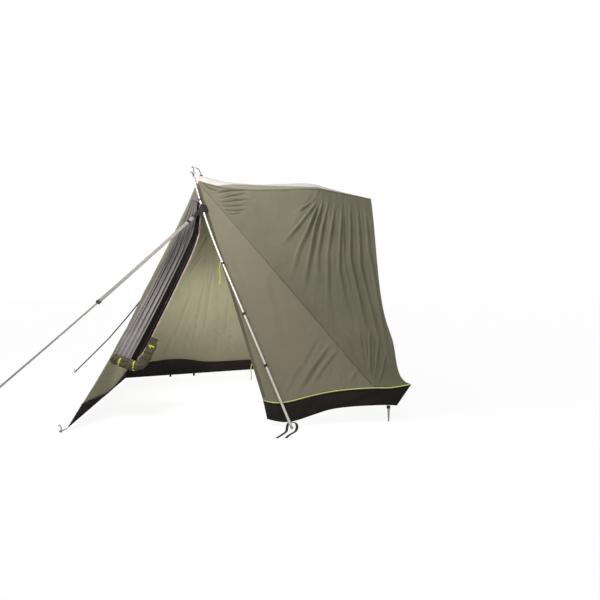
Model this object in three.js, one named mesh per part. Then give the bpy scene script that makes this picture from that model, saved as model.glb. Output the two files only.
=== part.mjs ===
// A tailgate awning: two crossed-over legs carry the peak of a tent that is sleeved over a van's rear end.
// The roof runs from the peak to the van, a wall hangs on each side, and a front panel leans out to two pegs.
// The near side has its door open, gathered at the front; the far door is closed.
//
// Units are millimetres, +Z is up, +X points towards the van and -Y is the near side.
// A place is written as run (away from the van's rear edge), half (out from the middle plane) and height.

import * as THREE from 'three';

// Whole tent: a place is written as shares of its length, its half width and the peak's height
const tentLength = 2315;
const tentHalfWidth = 1004;
const peakHeight = 2020;
const place = ([runShare, halfShare, heightShare]) => ({
  run: runShare * tentLength, half: halfShare * tentHalfWidth, height: heightShare * peakHeight,
});
const eaveTopShares = [0.6251, 0.0468, 1.002];
const seamTopShares = [0.6298, 0.0428, 0.9955];
const wallTopShares = [0.635, 0.0378, 0.9891];
const roofSag = 45;
const eaveCornerShare = 0.73;
const ridgeShares = [
  [0.6371, 0, 1.0337],
  [0.5508, 0, 1.0183],
  [0.473, 0, 1.0035],
  [0.3948, 0, 0.9936],
  [0.3313, 0, 0.9921],
  [0.2121, 0, 1.001],
  [0.1339, 0, 0.9827],
  [0, 0, 0.9287],
];

// Van end of the tent: the tailgate's corner, the roof edge and the sleeve that goes down the van's side
const tailgateCornerShares = [0.1901, 0.6773, 0.9178];
const roofCornerShares = [0, 0.7171, 0.8767];
const sleeveShares = [
  roofCornerShares,
  [0, 0.7968, 0.7728],
  [0, 0.8964, 0.5728],
  [-0.0164, 0.9313, 0.3936],
  [-0.0497, 0.9512, 0.302],
  [-0.057, 0.9582, 0.204],
  [-0.0778, 0.9612, 0.151],
  [-0.1089, 0.9612, 0.1371],
];

// Piping line at the top of the side skirt, front to rear, the foot of the seam in it, and the hem
const pipingFrontShares = [
  [0.3914, 0.9014, 0.0896],
  [0.3413, 0.9283, 0.0772],
  [0.2592, 0.9462, 0.099],
  [0.1581, 0.9612, 0.1238],
  [0.0225, 0.9711, 0.1297],
];
const sleeveBendShares = [-0.0324, 0.9681, 0.1272];
const hemShares = [
  [0.3801, 0.9641, 0.0277],
  [0.3456, 0.988, 0.0198],
  [0.3093, 1, 0.0178],
  [0.2518, 0.994, 0.0327],
  [0.1883, 0.9861, 0.0535],
  [0.1296, 0.9841, 0.0619],
  [0.0432, 0.9811, 0.0639],
  [-0.0259, 0.9711, 0.0614],
  [-0.0562, 0.9661, 0.0574],
];
const wallEdgeSag = 97;
const wallEdgeSkewShare = 0.6;

// Front panel, its two pegged corners and the skirt below it
const frontCornerShares = [1, 0.8566, 0.0099];
const frontTopShares = [0.641, 0.0199, 0.9812];
const frontSagIn = 90;
const frontSagBack = 27;
const frontSkirtShare = 0.077;
const frontSkirtStepRise = 80;
const doorMargin = 24;
const marginEnd = 5;
const marginTaperShare = 0.14;

// Cloth
const clothThickness = 3;
const seamGap = 0.3;
const slackFoldHeight = 10;
const tailgateFoldHeight = 20;
const sleeveFoldHeight = 13;
const wallFoldHeight = 6;
const panelFoldHeight = 14;
const hemWaveHeight = 6;
const pipingRadius = 4;
const pipingSides = 6;
const farSkirtStepShare = 0.47;
const farSkirtStepRise = 52;

// Gathered near door
const doorTopShare = 0.07;
const doorFootShare = 0.745;
const doorOpenShare = 0.19;
const doorWidth = 190;
const zipWidth = 52;
const zipTopShare = 0.4;
const meshFoldHeight = 12;
const meshFolds = 4;
const rollRadius = 38;
const rollEndRadius = 26;
const rollRiseShare = 0.09;
const rollFlatShares = [0.96, 0.9];
const rollStandoff = 4;
const rollTieThickness = 3;
const rollTieWidth = 12;
const zipSliderLength = 18;
const zipSliderWidth = 12;
const zipSliderWall = 3;
const zipBridgeHeight = 7;
const zipBridgeWidth = 6;
const zipSliderShare = 0.35;
const zipPullerLength = 38;
const zipPullerWidth = 7;
const zipPullerThickness = 2;
const zipFit = 0.5;

// Pole frame
const poleFootShares = [0.3024, 1.0608, 0];
const poleBendShares = [0.5296, 0.3436, 0.6188];
const poleTopShares = [0.6479, 0.0319, 1.0208];
const poleShoulderShare = 0.32;
const poleRadius = 11;
const poleWall = 1;
const topPoleRadius = 9.2;
const topPoleOverlap = 60;
const collarPlaceHeightShare = 0.91089;
const collarPlaceHeight = peakHeight * collarPlaceHeightShare;
const collarHeight = 18;
const collarWall = 3;
const poleSides = 12;
const fitGap = 0.3;
const clipHeightShares = [0.61386, 0.40347, 0.21089];
const clipPlaceHeights = clipHeightShares.map(share => peakHeight * share);
const clipHeight = 22;
const clipWall = 2.5;
const clipTabThickness = 4;
const clipMouth = 15;

// Hooks at the peak
const wireRadius = 3;
const plugLength = 22;
const plugFlange = 3;
const nearHookRise = 45;
const farHookRise = 112;
const nearHookReach = 18;
const farHookReach = 11;
const hookCurl = 10;
const ridgeHookRise = 62;
const ridgeHookReach = 42;
const ridgeFootRadius = 14;
const ridgeHookMargin = 1.1;
const ridgeHookSetback = ridgeFootRadius + ridgeHookMargin;
const ridgeHookRun = tentLength * eaveTopShares[0] - ridgeHookSetback;
const ridgeFootHeight = 3;

// Guy set
const guyAnchorShares = [1.3041, 1.3546, 0];
const guyPlaceHeightShare = 0.868;
const guyPlaceHeight = peakHeight * guyPlaceHeightShare;
const patchLength = 88;
const patchBackLength = 60;
const patchReach = 44;
const patchRise = 15.6;
const guyLoopReach = 70;
const guyLoopWidth = 28;
const buckleLength = 62;
const buckleWidth = 38;
const buckleThickness = 9;
const buckleSlot = 4;
const strapWidth = 28;
const strapThickness = 2;
const lineWidth = 14;
const ladderReach = 52;
const ladderLength = 24;
const nearSliderReach = 1104;
const farSliderReach = 940;
const nearGuyDrop = 0.024;
const farGuyDrop = 0.113;
const ladderRun = 350;
const guySteps = 6;
const sliderLength = 30;
const sliderWall = 3;
const pegRadius = 3;
const guyPegHeight = 46;

// Straps, tabs and pegs at the ground
const footStrapWidth = 20;
const footStrapThickness = 2;
const hemPegRunShare = -0.02505;
const hemPegRun = tentLength * hemPegRunShare;
const hemTabWidth = 24;
const hemTabLength = 22;
const hemTabWall = 2;
const hemTabStandoff = 7;
const hemPegWidth = 9;
const hemPegTip = 4;
const hemPegHead = 16;
const hemPegHeadHeight = 5;
const hemPegThickness = 3;
const frontLoopReach = 34;
const frontLoopRadius = 12;
const frontLoopSlack = 0.9;
const frontLoopWayShares = [0.8, 0.6];
const frontLoopNeck = 5;
const frontLoopThickness = 3;
const frontPegHeight = 58;
const frontPegLean = 18;

// Lime cords that tie the open door back to the wall's front edge
const tieBackRadius = 2.5;
const tieBackHeightShares = [0.62475, 0.21386];
const tieBackHeights = tieBackHeightShares.map(share => peakHeight * share);
const tieBackLengths = [200, 122];

const near = -1;
const far = 1;
const up = new THREE.Vector3(0, 0, 1);
const atPlace = (p, side) => new THREE.Vector3(-p.run, side * p.half, p.height);
const at = (shares, side) => atPlace(place(shares), side);
const unit = (x, y, z) => new THREE.Vector3(x, y, z).normalize();

// The way that cloth thickness goes outwards: alike on both sides of a seam, so that panels meet edge to edge
const wallOut = side => unit(-0.25, 0.9 * side, 0.25);
const eaveOut = side => unit(-0.12, 0.55 * side, 0.83);
const frontOut = unit(-0.92, 0, 0.39);
const cornerOut = side => unit(-0.7, 0.62 * side, 0.36);

const fabric = color => new THREE.MeshStandardMaterial({ color, roughness: 0.9, metalness: 0 });
const wallCloth = fabric(0x827e6b);
const liningCloth = fabric(0x94907a);
const roofCloth = fabric(0xd9d4cf);
const skirtCloth = fabric(0x24201e);
const meshCloth = fabric(0x8c8884);
const coverCloth = fabric(0x4a4537);
const limeCord = fabric(0xbecd6e);
const webbing = fabric(0xb4afa8);
const darkWebbing = fabric(0x3a3634);
const steel = new THREE.MeshStandardMaterial({ color: 0xd6d6d2, roughness: 0.3, metalness: 0.9 });
const darkSteel = new THREE.MeshStandardMaterial({ color: 0x55504c, roughness: 0.4, metalness: 0.8 });
const blackPlastic = new THREE.MeshStandardMaterial({ color: 0x1c1c1e, roughness: 0.5, metalness: 0 });

const awning = new THREE.Group();
const guySet = new THREE.Group();
awning.add(guySet);
awning.userData.pivots = {};

function add(name, geometry, material, parent = awning) {
  const mesh = new THREE.Mesh(geometry, material);
  mesh.name = name;
  parent.add(mesh);
  return mesh;
}

const sideName = side => (side === near ? 'near' : 'far');

// A closed body from its corners and triangles, turned so that its faces point out
function closedBody(points, triangles) {
  let volume = 0;
  for (let k = 0; k < triangles.length; k += 3) {
    const [a, b, c] = [triangles[k], triangles[k + 1], triangles[k + 2]].map(i => points[i]);
    volume += a.dot(b.clone().cross(c));
  }
  const faces = volume < 0 ? triangles.slice().reverse() : triangles;
  const geometry = new THREE.BufferGeometry();
  geometry.setAttribute('position', new THREE.Float32BufferAttribute(points.flatMap(p => p.toArray()), 3));
  geometry.setIndex(faces);
  geometry.computeVertexNormals();
  return geometry;
}

// Rings of corners joined one to the next, with flat ends
function loftedBody(rings) {
  const sides = rings[0].length;
  const points = rings.flat();
  const triangles = [];
  for (let k = 0; k + 1 < rings.length; k += 1) {
    for (let i = 0; i < sides; i += 1) {
      const j = (i + 1) % sides;
      const [a, b, c, d] = [k * sides + i, k * sides + j, (k + 1) * sides + j, (k + 1) * sides + i];
      triangles.push(a, b, c, a, c, d);
    }
  }
  const last = (rings.length - 1) * sides;
  for (let i = 1; i + 1 < sides; i += 1) {
    triangles.push(0, i + 1, i, last, last + i, last + i + 1);
  }
  return closedBody(points, triangles);
}

// Rings joined one to the next and the last to the first, such as a band round a roll
function closedRing(rings) {
  const sides = rings[0].length;
  const points = rings.flat();
  const triangles = [];
  for (let k = 0; k < rings.length; k += 1) {
    const next = (k + 1) % rings.length;
    for (let i = 0; i < sides; i += 1) {
      const j = (i + 1) % sides;
      const [a, b, c, d] = [k * sides + i, k * sides + j, next * sides + j, next * sides + i];
      triangles.push(a, b, c, a, c, d);
    }
  }
  return closedBody(points, triangles);
}

// A ring round a path: round with one radius, or flat with a width across and a thickness along the given way up
function ringAt(centre, tangent, wayUp, halfWidth, halfHeight, sides) {
  const across = tangent.clone().cross(wayUp).normalize();
  const lift = across.clone().cross(tangent).normalize();
  const turn = sides === 4 ? Math.PI / 4 : 0;
  const reach = sides === 4 ? Math.SQRT2 : 1;
  return Array.from({ length: sides }, (_, i) => {
    const angle = turn + (2 * Math.PI * i) / sides;
    return centre.clone()
      .addScaledVector(across, reach * halfWidth * Math.cos(angle))
      .addScaledVector(lift, reach * halfHeight * Math.sin(angle));
  });
}

function loftAlong(points, wayUp, sizes, sides) {
  const rings = points.map((p, i) => {
    const before = points[Math.max(i - 1, 0)];
    const after = points[Math.min(i + 1, points.length - 1)];
    const [halfWidth, halfHeight] = sizes(i / (points.length - 1), i);
    return ringAt(p, after.clone().sub(before).normalize(), wayUp, halfWidth, halfHeight, sides);
  });
  return loftedBody(rings);
}

// Cloth: a grid on the outer face, the same grid one thickness inside, and walls round the edge.
// Each edge is drawn in by half the seam gap, so that two panels which share an edge keep clear of each other.
function clothBody({ columns, rows, surface, out, thickness = clothThickness, inset = seamGap / 2 }) {
  const index = (i, j) => i * (rows + 1) + j;
  const plain = [];
  for (let i = 0; i <= columns; i += 1) {
    for (let j = 0; j <= rows; j += 1) {
      plain.push(surface(i / columns, j / rows));
    }
  }
  const step = (i, j, di, dj) => {
    const edge = plain[index(i, j)];
    const inner = plain[index(i + di, j + dj)];
    const a = plain[index(Math.min(i + Math.abs(dj), columns), Math.min(j + Math.abs(di), rows))];
    const b = plain[index(Math.max(i - Math.abs(dj), 0), Math.max(j - Math.abs(di), 0))];
    const along = a.clone().sub(b).normalize();
    const inwards = inner.clone().sub(edge);
    return inwards.addScaledVector(along, -inwards.dot(along)).setLength(inset);
  };
  const outer = [];
  const inner = [];
  for (let i = 0; i <= columns; i += 1) {
    for (let j = 0; j <= rows; j += 1) {
      const p = plain[index(i, j)].clone();
      if (i === 0) p.add(step(i, j, 1, 0));
      if (i === columns) p.add(step(i, j, -1, 0));
      if (j === 0) p.add(step(i, j, 0, 1));
      if (j === rows) p.add(step(i, j, 0, -1));
      outer.push(p);
      inner.push(p.clone().addScaledVector(out(i / columns, j / rows), -thickness));
    }
  }
  const points = [...outer, ...inner];
  const deep = outer.length;
  const triangles = [];
  for (let i = 0; i < columns; i += 1) {
    for (let j = 0; j < rows; j += 1) {
      const [a, b, c, d] = [index(i, j), index(i + 1, j), index(i + 1, j + 1), index(i, j + 1)];
      triangles.push(a, b, c, a, c, d, deep + a, deep + c, deep + b, deep + a, deep + d, deep + c);
    }
  }
  const wall = (a, b) => triangles.push(a, deep + a, deep + b, a, deep + b, b);
  for (let i = 0; i < columns; i += 1) {
    wall(index(i, 0), index(i + 1, 0));
    wall(index(i + 1, rows), index(i, rows));
  }
  for (let j = 0; j < rows; j += 1) {
    wall(index(0, j + 1), index(0, j));
    wall(index(columns, j), index(columns, j + 1));
  }
  return closedBody(points, triangles);
}

const mix = (a, b, t) => a.clone().lerp(b, t);
const mixOut = (a, b, t) => a.clone().lerp(b, t).normalize();
const clamp01 = t => THREE.MathUtils.clamp(t, 0, 1);
const smooth = t => THREE.MathUtils.smoothstep(t, 0, 1);
const humps = (t, count) => Math.sin(Math.PI * count * clamp01(t)) ** 2;

// A cut edge under tension: straight between its ends but for one even sag, deeper towards its start with skew
function saggingLine(a, b, sag, skew = 0) {
  return t => mix(a, b, t).addScaledVector(sag, 4 * t * (1 - t) * (1 + skew * (1 - 2 * t)));
}

function throughPlaces(places, side) {
  const curve = new THREE.CatmullRomCurve3(places.map(p => at(p, side)), false, 'centripetal');
  return t => curve.getPoint(t);
}

// All seam and edge lines of one side; each goes from the peak outwards, or from the front towards the van
function linesOf(side) {
  const corner = at(tailgateCornerShares, side);
  const roofEnd = at(roofCornerShares, side);
  const seamFootShares = pipingFrontShares.at(-1);
  const eaveStart = saggingLine(at(eaveTopShares, side), corner, new THREE.Vector3(0, 0, -roofSag), 0.6);
  const frontSag = new THREE.Vector3(frontSagBack, -side * frontSagIn, 0);
  return {
    wallEdge: saggingLine(at(wallTopShares, side), at(pipingFrontShares[0], side),
      new THREE.Vector3(0, -side * wallEdgeSag, 0), wallEdgeSkewShare),
    seam: t => mix(at(seamTopShares, side), at(seamFootShares, side), t),
    eave: t => (t < eaveCornerShare
      ? eaveStart(t / eaveCornerShare)
      : mix(corner, roofEnd, (t - eaveCornerShare) / (1 - eaveCornerShare))),
    sleeve: throughPlaces(sleeveShares, side),
    pipingFront: throughPlaces(pipingFrontShares, side),
    pipingRear: throughPlaces([seamFootShares, sleeveBendShares, sleeveShares.at(-1)], side),
    hem: throughPlaces(hemShares, side),
    frontEdge: saggingLine(at(frontTopShares, side), at(frontCornerShares, side), frontSag),
  };
}

const lines = { near: linesOf(near), far: linesOf(far) };
const linesAt = side => lines[sideName(side)];

const frontColumns = 6;
const seamRows = 24;
const sleeveColumns = 8;
const rearColumns = seamRows + sleeveColumns;
const rearRows = 9;
const seamColumnShare = seamRows / rearColumns;

// Front part of a side wall: the triangle between the door edge, the diagonal seam and the piping
function wallFrontPoint(side, u, v) {
  const { wallEdge, seam, pipingFront } = linesAt(side);
  const low = pipingFront(u).sub(mix(pipingFront(0), pipingFront(1), u));
  const fold = wallFoldHeight * humps(u, 2) * humps(v, 1);
  return mix(wallEdge(1 - v), seam(1 - v), u)
    .addScaledVector(low, (1 - v) ** 2)
    .addScaledVector(wallOut(side), fold);
}

// Rear part: ruled between the seam and piping below and the eave above. The rulings fan out from the
// tailgate's corner, where the cloth hangs in long folds, and the last ones follow the sleeve on the van.
const fanColumnShares = [0, 0.3, 0.7, 1];
const fanEaveShares = [0, 0.69, 0.78, 1];

function fanShare(u) {
  const k = fanColumnShares.findIndex((limit, i) => i > 0 && u <= limit + Number.EPSILON);
  const t = (u - fanColumnShares[k - 1]) / (fanColumnShares[k] - fanColumnShares[k - 1]);
  return THREE.MathUtils.lerp(fanEaveShares[k - 1], fanEaveShares[k], t);
}

function wallRearFold(u, v) {
  const hang = Math.sin(Math.PI * clamp01(v)) ** 0.7;
  const slack = slackFoldHeight * humps((v - 0.52) / 0.42, 2) * humps(u / 0.34, 1);
  const fan = tailgateFoldHeight * humps((u - 0.3) / 0.4, 4) * hang * (0.35 + 0.65 * v);
  const straight = sleeveFoldHeight * humps((u - 0.7) / 0.28, 3) * hang;
  return slack + fan + straight;
}

function wallRearPoint(side, u, v) {
  const { seam, pipingRear, eave, sleeve } = linesAt(side);
  const low = u <= seamColumnShare
    ? seam(u / seamColumnShare)
    : pipingRear((u - seamColumnShare) / (1 - seamColumnShare));
  const high = eave(fanShare(u));
  const sweep = sleeve(1 - v).sub(mix(pipingRear(1), eave(1), v));
  return mix(low, high, v)
    .addScaledVector(sweep, u ** 6)
    .addScaledVector(wallOut(side), wallRearFold(u, v));
}

const wallRearOut = (side, v) => mixOut(wallOut(side), eaveOut(side), smooth((v - 0.75) / 0.25));

const walls = {};
for (const side of [near, far]) {
  const name = sideName(side);
  const front = clothBody({
    columns: frontColumns,
    rows: seamRows,
    surface: (u, v) => wallFrontPoint(side, u, v),
    out: () => wallOut(side),
  });
  walls[name] = [add(`${name}_wall_front`, front, wallCloth)];
  const rear = clothBody({
    columns: rearColumns,
    rows: rearRows,
    surface: (u, v) => wallRearPoint(side, u, v),
    out: (u, v) => wallRearOut(side, v),
  });
  walls[name].push(add(`${name}_wall_rear`, rear, wallCloth));
}

// Roof: from eave to eave over a ridge that starts high at the peak, dips and falls to the van's roof
const roofColumns = 8;
const ridge = throughPlaces(ridgeShares, near);

// The ridge's height at a distance from the van, found by halving
function ridgeHeight(x) {
  let [low, high] = [0, 1];
  while (high - low > Number.EPSILON * ridgeShares.length) {
    const middle = (low + high) / 2;
    if (ridge(middle).x < x) low = middle;
    else high = middle;
  }
  return ridge(low).z;
}

function roofPoint(u, v) {
  const nearEave = lines.near.eave(fanShare(u));
  const farEave = lines.far.eave(fanShare(u));
  const across = 2 * v - 1;
  const arch = 1 - Math.abs(across) ** 1.7;
  const p = mix(nearEave, farEave, v);
  p.z += (ridgeHeight(nearEave.x) - nearEave.z) * arch;
  return p;
}

add('roof', clothBody({
  columns: rearColumns,
  rows: roofColumns,
  surface: roofPoint,
  out: (u, v) => (v < 0.5 ? mixOut(eaveOut(near), up, smooth(v * 2)) : mixOut(up, eaveOut(far), smooth(v * 2 - 1))),
}), roofCloth);

// Skirts below the side walls, and the piping on their top seam
const pipingStations = side => {
  const { pipingFront, pipingRear } = linesAt(side);
  const front = Array.from({ length: frontColumns + 1 }, (_, i) => pipingFront(i / frontColumns));
  const rear = Array.from({ length: sleeveColumns }, (_, i) => pipingRear((i + 1) / sleeveColumns));
  return [...front, ...rear];
};

for (const side of [near, far]) {
  const name = sideName(side);
  const { hem } = linesAt(side);
  const stations = pipingStations(side);
  const columns = stations.length - 1;
  const skirtPoint = (u, v) => {
    const wave = hemWaveHeight * Math.sin(5 * Math.PI * u) * Math.sin(Math.PI * v);
    return mix(hem(u), stations[Math.round(u * columns)], v).addScaledVector(wallOut(side), wave);
  };
  add(`${name}_skirt`, clothBody({ columns, rows: 3, surface: skirtPoint, out: () => wallOut(side) }), skirtCloth);
  const lift = pipingRadius + fitGap;
  const path = stations.map(p => p.clone().addScaledVector(wallOut(side), lift));
  add(`${name}_piping`, loftAlong(path, wallOut(side), () => [pipingRadius, pipingRadius], pipingSides), limeCord);
}

// Front panel and its skirt: they share the panel's two edges, and the skirt takes the lowest share of them
const panelRows = 20;
const panelColumns = 8;
const onFrontEdge = (side, v) => linesAt(side).frontEdge(1 - v);

const doorAlong = lines.near.frontEdge(1).sub(lines.near.frontEdge(0)).normalize();
const doorAcross = (() => {
  const toWall = lines.near.wallEdge(0.5).sub(lines.near.frontEdge(0.5));
  return toWall.addScaledVector(doorAlong, -toWall.dot(doorAlong)).normalize();
})();
const doorOut = doorAlong.clone().cross(doorAcross).normalize();
if (doorOut.y > 0) doorOut.negate();

const panelShare = v => 1 - THREE.MathUtils.lerp(frontSkirtShare, 1, v);
const marginWidth = share => THREE.MathUtils.lerp(marginEnd, doorMargin,
  smooth(share / doorTopShare) * smooth((1 - frontSkirtShare - share) / marginTaperShare));

function frontPanelPoint(u, v) {
  const marginShare = 1 / (panelColumns + 1);
  const edgeShare = THREE.MathUtils.lerp(frontSkirtShare, 1, v);
  const nearEdge = onFrontEdge(near, edgeShare);
  if (u < marginShare / 2) return nearEdge.addScaledVector(doorAcross, marginWidth(panelShare(v)));
  const t = (u - marginShare) / (1 - marginShare);
  const p = mix(nearEdge, onFrontEdge(far, edgeShare), t);
  const middle = smooth(1 - Math.abs(2 * t - 1) * 0.9);
  p.z -= (1 - v) ** 8 * frontSkirtStepRise * middle;
  return p.addScaledVector(frontOut, panelFoldHeight * humps(t, 3) * v * (1 - v) * 2);
}

function frontPanelOut(u) {
  const marginShare = 1 / (panelColumns + 1);
  if (u < marginShare / 2) return mixOut(doorOut, cornerOut(near), 0.35);
  const t = (u - marginShare) / (1 - marginShare);
  return t < 0.5
    ? mixOut(cornerOut(near), frontOut, smooth(t * 2))
    : mixOut(frontOut, cornerOut(far), smooth(t * 2 - 1));
}

add('front_panel', clothBody({
  columns: panelColumns + 1,
  rows: panelRows,
  surface: frontPanelPoint,
  out: frontPanelOut,
}), liningCloth);

add('front_skirt', clothBody({
  columns: panelColumns,
  rows: 2,
  surface: (u, v) => {
    const share = 1 / (panelColumns + 1);
    const high = frontPanelPoint(share + u * (1 - share), 0);
    return mix(mix(at(frontCornerShares, near), at(frontCornerShares, far), u), high, v);
  },
  out: u => frontPanelOut((1 + u * panelColumns) / (panelColumns + 1)),
}), skirtCloth);

// Closed far door and its skirt, from the far wall's front edge to the front panel's far edge
const farDoorColumns = 7;

function farDoorFoot(u) {
  const p = mix(at(pipingFrontShares[0], far), onFrontEdge(far, frontSkirtShare), u);
  const step = smooth((u - farSkirtStepShare) / 0.08) * (1 - smooth((u - 0.75) / 0.25));
  p.z += farSkirtStepRise * step;
  return p;
}

function farDoorPoint(u, v) {
  const { wallEdge } = lines.far;
  const low = farDoorFoot(u).sub(mix(farDoorFoot(0), farDoorFoot(1), u));
  const edgeShare = THREE.MathUtils.lerp(frontSkirtShare, 1, v);
  return mix(wallEdge(1 - v), onFrontEdge(far, edgeShare), u)
    .addScaledVector(low, (1 - v) ** 8)
    .addScaledVector(doorOut.clone().multiply(new THREE.Vector3(1, -1, 1)),
      -panelFoldHeight * humps(u, 3) * v * (1 - v) * 3);
}

add('far_door_panel', clothBody({
  columns: farDoorColumns,
  rows: seamRows,
  surface: farDoorPoint,
  out: u => mixOut(wallOut(far), cornerOut(far), u),
}), liningCloth);

add('far_door_skirt', clothBody({
  columns: farDoorColumns,
  rows: 2,
  surface: (u, v) => mix(mix(at(hemShares[0], far), at(frontCornerShares, far), u), farDoorFoot(u), v),
  out: u => mixOut(wallOut(far), cornerOut(far), u),
}), skirtCloth);

// Gathered near door, measured on its own plane: share down the front edge, and distance across towards the wall
function doorPlace(share, across, lift = 0) {
  return lines.near.frontEdge(share).addScaledVector(doorAcross, across).addScaledVector(doorOut, lift);
}

const doorShare = v => THREE.MathUtils.lerp(doorFootShare, doorTopShare, v);
const doorOpen = share => clamp01(share / doorOpenShare);
const hingeGap = 2 * seamGap;
const doorStart = share => marginWidth(share) + hingeGap;
const meshEnd = share => doorStart(share) + (doorWidth - zipWidth) * doorOpen(share);
const zipEnd = share => meshEnd(share) + zipWidth * THREE.MathUtils.lerp(zipTopShare, 1, doorOpen(share));
const doorRows = 10;

add('near_door_mesh', clothBody({
  columns: 4 * meshFolds,
  rows: doorRows,
  surface: (u, v) => {
    const share = doorShare(v);
    const across = THREE.MathUtils.lerp(doorStart(share), meshEnd(share), u);
    const fold = meshFoldHeight * Math.sin(2 * Math.PI * meshFolds * u) * doorOpen(share) * 0.9;
    return doorPlace(share, across, fold);
  },
  out: () => doorOut,
}), meshCloth);

add('near_door_zip', clothBody({
  columns: 1,
  rows: doorRows,
  surface: (u, v) => {
    const share = doorShare(v);
    return doorPlace(share, THREE.MathUtils.lerp(meshEnd(share), zipEnd(share), u));
  },
  out: () => doorOut,
}), darkWebbing);

// The cover of the door, rolled up: it lies under the mesh and turns up beside the zip
const rollSteps = 16;

function rollPath() {
  const down = rollRadius + rollTieThickness + rollStandoff;
  const right = zipEnd(doorFootShare) + down;
  const start = doorStart(doorFootShare);
  const places = [start + fitGap, start + doorWidth / 3, start + doorWidth * 0.6, zipEnd(doorFootShare)]
    .map(across => doorPlace(doorFootShare, across).addScaledVector(doorAlong, down));
  places.push(doorPlace(doorFootShare, right).addScaledVector(doorAlong, down / 3));
  places.push(doorPlace(doorFootShare - rollRiseShare / 3, right + rollRadius / 3));
  places.push(doorPlace(doorFootShare - rollRiseShare, right));
  return new THREE.CatmullRomCurve3(places, false, 'centripetal').getSpacedPoints(rollSteps);
}

const rollSize = t => THREE.MathUtils.lerp(rollEndRadius, rollRadius, Math.sin(Math.PI * clamp01(t)) ** 0.5);
const rollPoints = rollPath();
const rollHalves = t => [rollSize(t) * rollFlatShares[0], rollSize(t) * rollFlatShares[1]];
const rollSides = 10;
add('rolled_cover', loftAlong(rollPoints, doorOut, rollHalves, rollSides), coverCloth);

// Bands that hold the roll: each is a flat ring round it
const rollTieStations = [2, 6, 13];
rollTieStations.forEach((station, k) => {
  const centre = mix(rollPoints[station], rollPoints[station + 1], 0.5);
  const tangent = rollPoints[station + 1].clone().sub(rollPoints[station]).normalize();
  const [halfWidth, halfHeight] = rollHalves((station + 0.5) / rollSteps);
  const inner = 2 * fitGap;
  const outer = inner + rollTieThickness;
  const layers = [[inner, -1], [outer, -1], [outer, 1], [inner, 1]].map(([grow, end]) => ringAt(
    centre.clone().addScaledVector(tangent, (end * rollTieWidth) / 2),
    tangent, doorOut, halfWidth + grow, halfHeight + grow, rollSides));
  const rings = layers[0].map((_, i) => layers.map(layer => layer[i]));
  add(`roll_tie_${k + 1}`, closedRing(rings), limeCord);
});

// Puts a piece that was made along +Z at a place, with its Z along one way and its X turned towards another
function seat(mesh, origin, alongZ, towardsX) {
  const z = alongZ.clone().normalize();
  const x = towardsX.clone().addScaledVector(z, -towardsX.dot(z)).normalize();
  mesh.quaternion.setFromRotationMatrix(new THREE.Matrix4().makeBasis(x, z.clone().cross(x), z));
  mesh.position.copy(origin);
  return mesh;
}

const pivot = (name, origin, axis) => {
  awning.userData.pivots[name] = { origin: origin.toArray(), axis: axis.clone().normalize().toArray() };
};

// The door swings about the middle of its seam, where the curved edge comes nearest to the opening
{
  const middle = (doorFootShare + doorTopShare) / 2;
  const [foot, top] = [doorFootShare, doorTopShare].map(share => doorPlace(share, doorStart(share)));
  pivot('near_door', doorPlace(middle, doorStart(middle), -clothThickness), top.sub(foot));
}

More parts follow.
